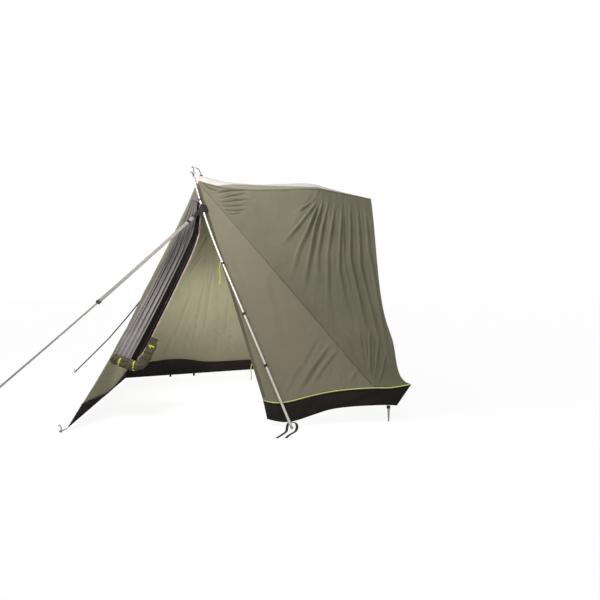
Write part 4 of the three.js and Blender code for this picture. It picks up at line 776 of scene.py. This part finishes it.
far_door = cloth_piece("far_door", ["far_door_panel"], DOOR_OUT, [wall_outside, inside_painted_light],
                       3, lambda bm: crumple(bm, DOOR_FOLDS))
SKIRTS = {
    "near_black_skirt": (["near_skirt"], (0, -1, 0.2), ["near_wall"]),
    "far_black_skirt": (["far_skirt"], (0, 1, 0.2), ["far_wall"]),
    "front_black_skirt": (["front_skirt"], FRONT_OUT, ["front_sheet"]),
    "far_door_black_skirt": (["far_door_skirt"], DOOR_OUT, ["far_door"]),
}
skirts = {}
for name, (names, out, above) in SKIRTS.items():
    skirts[name] = cloth_piece(name, names, out, [skirt_black], 3,
                               lambda bm: crumple(bm, [], waver=0.012, fade_width=0.02))

# %% [markdown]
# The near door stands open. Its insect mesh is gathered in long pleats, and in the
# valleys of the pleats, where the fabric lies double, it is painted darker: partly the
# denser doubled net, partly painted shade. Its lower end is tucked into the roll. A pleat
# is a deeper, sharper fold, and that darker mark is kept as an attribute that the mesh's
# finish reads.

# %% Door mesh
MESH_PLEATS = [
    ([(-0.490, 1.716), (-0.615, 1.380), (-0.777, 0.988), (-0.965, 0.556)], (0.003, 0.006), 0.006),
    ([(-0.473, 1.711), (-0.592, 1.374), (-0.752, 0.982), (-0.938, 0.550)], (0.002, 0.005), -0.005),
    ([(-0.463, 1.707), (-0.576, 1.368), (-0.738, 0.976), (-0.920, 0.544)], (0.003, 0.006), 0.007),
    ([(-0.449, 1.704), (-0.556, 1.363), (-0.716, 0.970), (-0.903, 0.538)], (0.002, 0.004), -0.006),
    ([(-0.439, 1.700), (-0.541, 1.357), (-0.702, 0.964), (-0.889, 0.533)], (0.003, 0.005), 0.006),
    ([(-0.425, 1.696), (-0.521, 1.351), (-0.681, 0.959), (-0.869, 0.527)], (0.002, 0.005), -0.007),
]
DOOR_FRONT = (-0.087, -0.902, 0.423)
DOOR_ALONG, MESH_TUCK = Vector((-0.3629, -0.3668, -0.8566)), 0.014


def pleated(bm):
    """Sharp pleats, with the doubled cloth and the painted shade in their valleys marked from 0 to 1."""
    doubled_and_shaded = bm.verts.layers.float.new("doubled_and_shaded")
    spots = np.array([[v.co.x, v.co.z] for v in bm.verts])
    wide = [(line, (widths[0] * 1.9, widths[1] * 1.7), 1.0) for line, widths, height in MESH_PLEATS if height < 0]
    # marks the pleats' valleys for the finish's doubled net and painted shade
    for v, shade_mark in zip(bm.verts, fold_heights(spots, wide)):
        v[doubled_and_shaded] = min(1.0, max(0.0, shade_mark * 1.5))
    crumple(bm, MESH_PLEATS, waver=0.003, fade_width=0.012, seed=3.0)
    for v in bm.verts:
        v.co += DOOR_ALONG * MESH_TUCK * min(1.0, max(0.0, (0.61 - v.co.z) / 0.05))


mesh_grey, tree, shader, output = blank_finish("mesh_grey")
where = node(tree, "TexCoord").outputs["Object"]
pleat_shade = tree.nodes.new("ShaderNodeAttribute")
pleat_shade.attribute_name = "doubled_and_shaded"
hole = counted(tree, "MULTIPLY", bands(tree, where, 0.0022, "X"), bands(tree, where, 0.0022, "Z"))
net = mixed(tree, hole, linear(164, 157, 155), linear(142, 135, 133))
net = mixed(tree, ranged(tree, speckle(tree, where, 7.0), 0.4, 0.8), net, linear(174, 168, 165))
shaded = counted(tree, "MULTIPLY", between(tree, where, "Z", 0.85, 1.35), 0.6)
net = mixed(tree, shaded, net, linear(78, 75, 71))
# painted shade: the pleats' valleys go dark, partly for the denser doubled net and partly for the shade in them
tree.links.new(mixed(tree, pleat_shade.outputs["Fac"], net, linear(44, 40, 38)), shader.inputs["Base Color"])
shader.inputs["Roughness"].default_value = 0.9
shader.inputs["Alpha"].default_value = 0.9
bumped(tree, shader, [(hole, 0.3, 0.0004), (speckle(tree, where, 25.0, 4.0, (1, 1, 0.3)), 0.25, 0.004)])
door_mesh = cloth_piece("door_mesh", ["near_door_mesh"], DOOR_FRONT, [mesh_grey], 3, pleated,
                        body="near_door", thickness=0.0006,
                        flat=(0.24, 1.55))

# %% [markdown]
# A black band with a zip closes the door's edge. It hangs a little wider than its
# solid where the door is free. A pale tape edges the band, and the zip's coil is a row of small ribs, so the coil is made by a wave along
# the strap's own UV map instead of hundreds of teeth.

# %% Zip band, tape and coil
band_black = tent_cloth("band_black", linear(25, 22, 18), linear(36, 32, 26), 0.9, 0.05, sheen=0.0, gloss=0.05)
DOOR_ACROSS = Vector((0.9278, -0.2280, -0.2954))
BAND_WIDTH, BAND_FULLER = 0.052, 0.024
ZIP_LINE = [(-0.3815, -0.0868, 1.7913),
            (-0.378, -0.1246, 1.6802),
            (-0.3794, -0.1711, 1.5485),
            (-0.4599, -0.2445, 1.3311),
            (-0.5397, -0.3177, 1.1349),
            (-0.6217, -0.3981, 0.9387),
            (-0.7059, -0.4857, 0.7425),
            (-0.7923, -0.5805, 0.5463),
            (-0.8292, -0.6225, 0.4639)]


def fuller(share):
    """How much further out than its solid the band's free edge hangs, along the band."""
    return BAND_FULLER * min(1.0, max(0.0, (share - 0.12) / 0.25)) * min(1.0, max(0.0, (1.02 - share) / 0.1))


def hanging_band(bm):
    crumple(bm, [], waver=0.002, fade_width=0.01)
    line = [Vector(p) for p in ZIP_LINE]
    lengths = [(b - a).length for a, b in zip(line, line[1:])]
    for v in bm.verts:
        done, best = 0.0, None
        for a, b, size in zip(line, line[1:], lengths):
            share = min(1.0, max(0.0, (v.co - a).dot(b - a) / size ** 2))
            away = v.co - a.lerp(b, share)
            if best is None or away.length < best[0]:
                best = away.length, (done + share * size) / sum(lengths), away.dot(DOOR_ACROSS)
            done += size
        out = min(1.0, max(0.0, (best[2] + 0.6 * BAND_WIDTH) / (0.6 * BAND_WIDTH)))
        v.co += DOOR_ACROSS * fuller(best[1]) * out


zip_band = cloth_piece("zip_band", ["near_door_zip"], DOOR_FRONT, [band_black], 3,
                       hanging_band, body="near_door",
                       thickness=0.001, flat=(0.09, 1.48))
FREE_EDGE = [Vector(p) + DOOR_ACROSS * (fuller(k / 8) - 0.001) for k, p in enumerate(ZIP_LINE)]
TAPE_WIDTH, COIL_WIDTH, COIL_PITCH = 0.012, 0.005, 0.0024


def laid_on(piece, places, step=0.015, lift=0.0008):
    """A route pressed onto a finished sheet, with the way across it at each point."""
    ground = BVHTree.FromPolygons([v.co for v in piece.data.vertices],
                                  [tuple(f.vertices) for f in piece.data.polygons])
    route, normals = [], []
    for point in smooth_route(places, step):
        spot, normal, *_ = ground.find_nearest(point)
        route.append(spot + normal * lift)
        normals.append(normal)
    return route, [normal.cross(way) for normal, way in zip(normals, ways_along(route))]


def sewn_band(name, piece, places, width, finish, body="tent", thickness=0.0008, lift=0.0008, step=0.015):
    """A strip of cloth or tape sewn along a line on a sheet; it rides on the given body."""
    route, across = laid_on(piece, places, step, lift)
    return finish_piece(name, extruded_strap(route, across, width, thickness), finish, body)


zip_tape_pale, tree, shader, _ = blank_finish("zip_tape_pale")
where = node(tree, "TexCoord").outputs["Object"]
tone = ranged(tree, speckle(tree, where, 40.0), 0.4, 0.7)
tree.links.new(mixed(tree, tone, linear(168, 144, 142), linear(186, 162, 158)), shader.inputs["Base Color"])
shader.inputs["Roughness"].default_value = 0.8
bumped(tree, shader, [(bands(tree, where, 0.0012, "Z"), 0.4, 0.0003)])
zip_coil_black, tree, shader, _ = blank_finish("zip_coil_black")
along = node(tree, "UVMap").outputs["UV"]
rib = bands(tree, along, COIL_PITCH, "X")
tree.links.new(mixed(tree, rib, linear(22, 20, 20), linear(62, 58, 57)), shader.inputs["Base Color"])
shader.inputs["Roughness"].default_value = 0.4
bumped(tree, shader, [(rib, 1.0, 0.0012)])
zip_tape = sewn_band("zip_tape", zip_band, FREE_EDGE, TAPE_WIDTH, zip_tape_pale, "near_door")
zip_coil = sewn_band("zip_coil", zip_band, ZIP_LINE, COIL_WIDTH, zip_coil_black, "near_door",
                     0.0012, 0.0022)
print("zip tape", round(TAPE_WIDTH * 1000), "mm wide, coil", round(COIL_WIDTH * 1000), "mm")

# %% [markdown]
# The door's outer cover is rolled up below the mesh and held by lime loops. A roll of
# thin cloth is wrinkled along its length and squeezed at each loop. Its CAD solid is
# copied, its doubles are merged, and it is subdivided and creased.


def merged_copy(name, fatten=0.0):
    """A bmesh of a CAD solid with its doubles merged and its triangles paired."""
    bm = bmesh.new()
    bm.from_mesh(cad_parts[name].data)
    bmesh.ops.remove_doubles(bm, verts=bm.verts, dist=MERGE)
    bmesh.ops.join_triangles(bm, faces=bm.faces, angle_face_threshold=PAIR_TURN, angle_shape_threshold=math.pi)
    bm.normal_update()
    if fatten:
        for v in bm.verts:
            v.co += v.normal * fatten
    return bm


cover_cloth = tent_cloth("cover_cloth", linear(78, 73, 57), linear(100, 94, 75), 0.85, 0.1, 1.2, sheen=0.0, gloss=0.1)
loops = [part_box(f"roll_tie_{k}") for k in (1, 2, 3)]
loop_middles = [(Vector(low) + Vector(high)) / 2 for low, high in loops]
bm = subdivided(merged_copy("rolled_cover", 0.004), 3)
bm.normal_update()
for v in bm.verts:
    wrinkle = noise.fractal(Vector((v.co.x * 24, v.co.y * 40, v.co.z * 34)), 1.0, 2.0, 3)
    ridged = 1 - abs(noise.noise(Vector((v.co.x * 46 + 5, v.co.y * 60, v.co.z * 52)))) * 2
    squeezed = min(1.0, min((v.co - middle).length for middle in loop_middles) / 0.055)
    v.co += v.normal * (0.011 * wrinkle + 0.006 * ridged - 0.004) * (0.45 + 0.55 * squeezed)
rolled = finish_piece("door_cover_roll", bm, cover_cloth, "near_door")
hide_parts("rolled_cover")
for k, middle in enumerate(loop_middles, 1):
    loop = finish_piece(f"roll_loop_{k}", subdivided(merged_copy(f"roll_tie_{k}", 0.0012), 2),
                        cord_lime, "near_door")
    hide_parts(f"roll_tie_{k}")
    low, high = loops[k - 1]
    front = Vector((middle.x, low[1] - 0.003, middle.z + 0.006))
    bm = extruded_tube([front + UP * h for h in (-0.012, -0.009, -0.003, 0.003, 0.009, 0.012)],
                       [0.003, 0.0048, 0.004, 0.004, 0.0048, 0.003], 12)
    finish_piece(f"roll_toggle_{k}", bm, cord_lime, "near_door")
print("roll and", len(loops), "loops")

# %% [markdown]
# The rest of the soft trim is small: a patch that wraps the pole where each guy
# starts, loops of webbing at the hem and the front corners, and the round piping that
# slides into the van's rail. Each keeps the form of its solid, rounded a little.

# %% Guy patches, loops and piping
piping_lime = woven_strap("piping_lime", linear(214, 228, 134), linear(224, 234, 156), 0.0016)
patch_black = woven_strap("patch_black", linear(34, 31, 30), linear(56, 52, 50), 0.0016)
for side, sign in SIDES.items():
    patch = cloth_piece(f"{side}_anchor_patch", [f"{side}_guy_patch"], (-0.2, 0.95 * sign, 0.2), [patch_black],
                        2, None, thickness=0.0018)
    for trim, fatten in (("hem_tab", 0.0003), ("front_loop", 0.0003)):
        made = finish_piece(f"{side}_{trim}_webbing", merged_copy(f"{side}_{trim}", fatten), webbing_dark,
                            smooth=False)
        bevel = made.modifiers.new("soft edge", "BEVEL")
        bevel.width, bevel.segments = 0.0005, 2
        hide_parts(f"{side}_{trim}")
    piping = finish_piece(f"{side}_round_piping", subdivided(merged_copy(f"{side}_piping", 0.0012), 1),
                          piping_lime)
    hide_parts(f"{side}_piping")
print("patches, loops and piping done")

# %% [markdown]
# Metal and plastic follow. Poles are pale coated steel with faint lengthwise wear, the
# small wires and pegs are zinc-plated, and the fittings are moulded nylon with a fine
# grain. A copy of each solid gets rounder bends or softer edges than the CAD model.

# %% Metal and plastic finishes


def metal(name, colour, worn, roughness, metallic, scale=40.0):
    finish, tree, shader, _ = blank_finish(name)
    where = node(tree, "TexCoord").outputs["Object"]
    streak = ranged(tree, speckle(tree, where, scale, 5.0, (1, 1, 0.06)), 0.45, 0.8)
    tree.links.new(mixed(tree, streak, colour, worn), shader.inputs["Base Color"])
    shader.inputs["Metallic"].default_value = metallic
    rough = node(tree, "MapRange", To_Min=roughness, To_Max=roughness + 0.18)
    tree.links.new(streak, rough.inputs["Value"])
    tree.links.new(rough.outputs["Result"], shader.inputs["Roughness"])
    bumped(tree, shader, [(speckle(tree, where, scale * 12), 0.08, 0.0003)])
    return finish


def nylon(name, colour, edge):
    finish, tree, shader, _ = blank_finish(name)
    where = node(tree, "TexCoord").outputs["Object"]
    worn = ranged(tree, speckle(tree, where, 90.0, 4.0), 0.55, 0.85)
    tree.links.new(mixed(tree, worn, colour, edge), shader.inputs["Base Color"])
    shader.inputs["Roughness"].default_value = 0.42
    bumped(tree, shader, [(speckle(tree, where, 1500.0, 2.0), 0.2, 0.0003)])
    return finish


pole_steel = metal("pole_steel", linear(208, 205, 194), linear(176, 172, 160), 0.3, 0.5)
zinc = metal("zinc", linear(196, 194, 188), linear(148, 145, 140), 0.32, 0.85, 120.0)
hook_steel = metal("hook_steel", linear(72, 64, 62), linear(48, 43, 41), 0.45, 0.6, 160.0)
nylon_black = nylon("nylon_black", linear(20, 20, 21), linear(46, 46, 48))

SHARP = math.radians(48)


def rounded_copy(node_name, finish, body="tent", fatten=0.0, levels=2):
    """A smooth copy of a solid whose sharp edges stay sharp."""
    bm = merged_copy(node_name, fatten)
    crease = bm.edges.layers.float.new("crease_edge")
    for edge in bm.edges:
        if len(edge.link_faces) == 2 and edge.calc_face_angle() > SHARP:
            edge[crease] = 0.9
    piece = finish_piece(f"{node_name}_smooth", bm, finish, body)
    smooth = piece.modifiers.new("smooth", "SUBSURF")
    smooth.levels = smooth.render_levels = levels
    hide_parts(node_name)
    return piece


def bevelled_copy(node_name, finish, body="tent", width=0.0006, fatten=0.0, widen=1.0):
    """A copy of a moulded solid with its edges rounded over."""
    bm = merged_copy(node_name, fatten)
    middle = sum(v.co.x for v in bm.verts) / len(bm.verts)
    for v in bm.verts:
        v.co.x = middle + (v.co.x - middle) * widen
    piece = finish_piece(f"{node_name}_moulded", bm, finish, body)
    edge = piece.modifiers.new("edge", "BEVEL")
    edge.width, edge.segments, edge.limit_method, edge.angle_limit = width, 3, "ANGLE", math.radians(35)
    edge.harden_normals = True
    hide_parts(node_name)
    return piece


# %% Poles, hooks and pegs
for side in SIDES:
    rounded_copy(f"{side}_pole", pole_steel, fatten=0.0002)
    rounded_copy(f"{side}_top_pole", pole_steel, fatten=0.0004)
    rounded_copy(f"{side}_top_hook", hook_steel, fatten=0.0014)
    bevelled_copy(f"{side}_collar", nylon_black)
    rounded_copy(f"{side}_guy_peg", zinc, fatten=0.0003)
    for peg, widen in (("hem_peg", 1.7), ("front_peg", 1.0)):
        bevelled_copy(f"{side}_{peg}", zinc, f"{side}_{peg}", 0.0004, 0.0014, widen)
rounded_copy("ridge_hook", hook_steel, fatten=0.0014)
print("poles, hooks and pegs smoothed")

# %% Buckles, locks, clips and the zip's slider
for side in SIDES:
    bevelled_copy(f"{side}_buckle", nylon_black)
    bevelled_copy(f"{side}_guy_slider", nylon_black)
    bevelled_copy(f"{side}_ladder_lock", nylon_black, f"{side}_ladder_lock")
    for k in (1, 2, 3):
        bevelled_copy(f"{side}_clip_{k}", nylon_black, f"{side}_clip_{k}")
bevelled_copy("zip_slider", nylon_black, "zip_slider", 0.0004)
bevelled_copy("zip_puller", nylon_black, "zip_puller", 0.0003)
print("fittings bevelled")

# %% [markdown]
# Seams make sewn cloth believable. Each one is a narrow strip pressed onto the finished
# sheet, so it follows every fold. The wall has a felled seam from the peak to the van,
# a hem along its open edge and a seam below the eave, the same on both sides. A black
# tape covers the joint between each cloth and its skirt.

# %% Seams and hems
seam_cloth = tent_cloth("seam_cloth", linear(100, 96, 80), linear(112, 108, 91), ripstop=0.1, crease=0.2)
hem_cloth = tent_cloth("hem_cloth", linear(92, 86, 72), linear(104, 98, 82), ripstop=0.1, crease=0.2)
roof_hem = tent_cloth("roof_hem", linear(206, 198, 184), linear(214, 207, 194), ripstop=0.1, crease=0.1)
SEAM_LINES = {
    "diagonal_seam": ([(-0.3749, -0.0616, 1.9759), (-0.1218, -0.2294, 1.6611), (0.1594, -0.4158, 1.3113),
                       (0.4405, -0.6022, 0.9616), (0.7217, -0.7886, 0.6118), (0.9818, -0.9610, 0.2882)],
                      0.006, seam_cloth),
    "edge_hem": ([(-0.3992, -0.0464, 1.9866), (-0.3471, -0.0805, 1.8186), (-0.2617, -0.1666, 1.5454),
                  (-0.1765, -0.2855, 1.2727), (-0.0914, -0.4283, 1.0001), (-0.0066, -0.5855, 0.7275),
                  (0.0781, -0.7479, 0.4549), (0.1571, -0.8959, 0.2005)], 0.024, hem_cloth),
    "eave_seam": ([(-0.3645, -0.0643, 2.0019), (-0.2542, -0.1337, 1.9602), (-0.1162, -0.2204, 1.9219),
                   (0.0907, -0.3505, 1.8865), (0.2976, -0.4806, 1.8673), (0.5045, -0.6106, 1.8533),
                   (0.6964, -0.6874, 1.8286), (0.8920, -0.7052, 1.7917), (1.0387, -0.7185, 1.7640)],
                  0.007, seam_cloth),
}
HEM_TAPE, HEM_NEAR, HEM_STEP = 0.018, 0.010, 0.03


def hem_line(above, below, axis):
    """Where one sheet's rim meets the sheet below it, from one end to the other."""
    ground = BVHTree.FromPolygons([v.co for v in below.data.vertices],
                                  [tuple(f.vertices) for f in below.data.polygons])
    bm = bmesh.new()
    bm.from_mesh(above.data)
    rim = sorted((v.co.copy() for v in bm.verts if v.is_boundary and ground.find_nearest(v.co)[3] < HEM_NEAR),
                 key=lambda co: co[axis])
    bm.free()
    line = rim[:1]
    for co in rim:
        if (co - line[-1]).length > HEM_STEP:
            line.append(co)
    return [co - UP * HEM_TAPE / 3 for co in line]


for side, sign in SIDES.items():
    for name, (places, width, cloth) in SEAM_LINES.items():
        sewn_band(f"{side}_{name}", walls[side], [(x, -y * sign, z) for x, y, z in places],
                  width, cloth, lift=0.0004)
HEMS = {"near_hem_tape": (walls["near"], "near_black_skirt", 0), "far_hem_tape": (walls["far"], "far_black_skirt", 0),
        "front_hem_tape": (front_sheet, "front_black_skirt", 1), "far_door_hem_tape": (far_door, "far_door_black_skirt", 0)}
for name, (above, below, axis) in HEMS.items():
    sewn_band(name, skirts[below], hem_line(above, skirts[below], axis), HEM_TAPE, skirt_black,
              lift=0.0012)
print("seams on each wall", len(SEAM_LINES) + 1)

# %% [markdown]
# Above the gathered mesh a small triangle of the same mesh closes the peak between the
# front's edge and the wall. It hangs from the tent, not from the door.

# %% Peak gusset
GUSSET = [(-0.4318, -0.0219, 1.9742), (-0.4139, -0.0384, 1.9943), (-0.3801, -0.0799, 1.8129),
          (-0.4573, -0.0610, 1.8374)]
bm = bmesh.new()
corners = [bm.verts.new(p) for p in GUSSET]
bmesh.ops.contextual_create(bm, geom=corners)
bmesh.ops.subdivide_edges(bm, edges=bm.edges, cuts=9, use_grid_fill=True)
bm.normal_update()
if sum((f.normal for f in bm.faces), Vector()).dot(Vector(DOOR_FRONT)) < 0:
    bmesh.ops.reverse_faces(bm, faces=bm.faces)
bm.normal_update()
for v in bm.verts:
    if not v.is_boundary:
        v.co += v.normal * 0.004 * noise.noise(Vector((v.co.x * 90 + v.co.z * 30, 0, 0)))
gusset = finish_piece("peak_gusset", bm, mesh_grey)
thicken(gusset, 0.0006)
print("gusset", round(sum(p.area for p in gusset.data.polygons), 4), "square metres")

# %% [markdown]
# The roof's cloth runs on past its front rim to the two top poles. This peak cap is
# bridged between two arcs, one on the roof's rim and one that passes between the poles.

# %% Peak cap
CAP_BACK = [(-0.4130, -0.0405, 1.9985), (-0.3925, -0.0475, 2.0250), (-0.3925, -0.0240, 2.0667), (-0.3925, 0.0, 2.0850)]
CAP_FRONT = [(-0.4305, -0.0225, 1.9830), (-0.4345, -0.0245, 2.0300), (-0.4365, -0.0160, 2.0600), (-0.4370, 0.0, 2.0715)]
bm = bmesh.new()
for arc in (CAP_BACK, CAP_FRONT):
    ring = [bm.verts.new(p) for p in arc + [(x, -y, z) for x, y, z in reversed(arc[:-1])]]
    for a, b in zip(ring, ring[1:]):
        bm.edges.new((a, b))
bmesh.ops.bridge_loops(bm, edges=bm.edges)
bm.normal_update()
if sum((f.normal for f in bm.faces), Vector()).dot(Vector((-0.4, 0, 1))) < 0:
    bmesh.ops.reverse_faces(bm, faces=bm.faces)
cap = finish_piece("peak_cap", subdivided(bm, 3), roof_two)
thicken(cap, CLOTH)

# %% [markdown]
# The far door's skirt is held by two short loops of black webbing, each with a small
# bent wire peg, which show below its lower edge.

# %% Far door's loops and pegs
for k, x in enumerate((-0.53, -0.787), 1):
    share = (0.1751 - x) / 1.4351
    hem = Vector((x, 0.968 - 0.108 * share, 0.056 - 0.036 * share))
    out = Vector((0, 1, 0))
    drop = smooth_route([hem + UP * 0.03, hem + out * 0.002, hem + out * 0.006 - UP * (hem.z - 0.010)], 0.006)
    loop = finish_piece(f"far_door_loop_{k}", extruded_strap(drop, Vector((1, 0, 0)), 0.022, 0.0016),
                        webbing_dark)
    foot = hem + out * 0.008
    foot.z = 0.003
    wire = smooth_route([foot + Vector((0, 0.004, 0.03)), foot + Vector((0.0, 0.010, 0.034)),
                         foot + Vector((0.0, 0.014, 0.022)), foot + Vector((0.0, 0.012, 0.0))], 0.003)
    finish_piece(f"far_door_peg_{k}", extruded_tube(wire, 0.0024, 10), zinc)
print("far door loops", k)

# %% [markdown]
# A plain pale floor keeps the awning's shadow, and its colour fades to white for the
# camera alone, so a white picture costs the cloth no extra light. The backdrop comes
# from the world in the same way.

# %% Floor
FLOOR_SIZE, FLOOR_WHITE, WHITE_SHARE = 60.0, 1.13, 0.79
bm = bmesh.new()
bmesh.ops.create_grid(bm, x_segments=1, y_segments=1, size=FLOOR_SIZE / 2)
floor_white, tree, shader, output = blank_finish("floor_white")
where = node(tree, "TexCoord").outputs["Object"]
pale = mixed(tree, speckle(tree, where, 0.6), (0.60, 0.60, 0.60, 1), (0.62, 0.62, 0.62, 1))
tree.links.new(pale, shader.inputs["Base Color"])
shader.inputs["Roughness"].default_value = 0.95
glow = node(tree, "Emission", Color=(1, 1, 1, 1), Strength=FLOOR_WHITE)
seen = counted(tree, "MULTIPLY", node(tree, "LightPath").outputs["Is Camera Ray"], WHITE_SHARE)
blend = node(tree, "MixShader")
tree.links.new(seen, blend.inputs[0])
tree.links.new(shader.outputs[0], blend.inputs[1])
tree.links.new(glow.outputs[0], blend.inputs[2])
tree.links.new(blend.outputs[0], output.inputs["Surface"])
mesh = bpy.data.meshes.new("floor")
bm.to_mesh(mesh)
bm.free()
mesh.materials.append(floor_white)
floor = bpy.data.objects.new("floor", mesh)
bpy.context.scene.collection.objects.link(floor)
print("floor", FLOOR_SIZE, "m wide")

# %% World
WORLD_LEVEL = 0.44
world = bpy.data.worlds.new("studio")
bpy.context.scene.world = world
world.use_nodes = True
tree = world.node_tree
soft = tree.nodes["Background"]
soft.inputs["Color"].default_value = (1, 1, 1, 1)
soft.inputs["Strength"].default_value = WORLD_LEVEL
white = node(tree, "Background", Color=(1, 1, 1, 1), Strength=1.0)
ray = node(tree, "LightPath")
seen = counted(tree, "MAXIMUM", ray.outputs["Is Camera Ray"], ray.outputs["Is Glossy Ray"])
seen = counted(tree, "MAXIMUM", seen, ray.outputs["Is Transmission Ray"])
choice = node(tree, "MixShader")
tree.links.new(seen, choice.inputs[0])
tree.links.new(soft.outputs[0], choice.inputs[1])
tree.links.new(white.outputs[0], choice.inputs[2])
tree.links.new(choice.outputs[0], tree.nodes["World Output"].inputs["Surface"])
print("world", WORLD_LEVEL)

# %% [markdown]
# A soft lamp near the peak lights the folds from above the door, and its light falls
# off towards the tailgate. A weak sun keeps the other sides readable. Two soft panels
# inside stand for the daylight that reaches the lining through both openings.

# %% Lamps
LAMP_LEVEL, LAMP_FROM = 0.7, (-0.20, -0.25, 1.0)


def lamp(name, kind, place, towards, energy, size):
    data = bpy.data.lights.new(name, kind)
    data.energy = energy
    made = bpy.data.objects.new(name, data)
    made.location = place
    made.rotation_euler = (Vector(place) - Vector(towards)).to_track_quat("Z", "Y").to_euler()
    made.visible_camera = False
    bpy.context.scene.collection.objects.link(made)
    if kind == "SUN":
        data.angle = size
    else:
        data.shape, data.size, data.size_y = "RECTANGLE", *size
    return made


lamp("sky", "SUN", LAMP_FROM, (0, 0, 0), LAMP_LEVEL, math.radians(22))
lamp("key", "AREA", (-1.0, -1.3, 2.5), (0.0, -0.4, 1.4), 26.0, (0.8, 0.8))
lamp("door_daylight", "AREA", (-0.36, -0.10, 0.60), (-0.56, 0.90, 0.50), 5.3, (0.76, 0.8))
lamp("van_daylight", "AREA", (0.95, 0.0, 1.0), (-0.6, 0.0, 0.9), 12.0, (1.0, 1.2))
bpy.context.scene.view_settings.view_transform = "Standard"
print("lamps", len(bpy.data.lights))
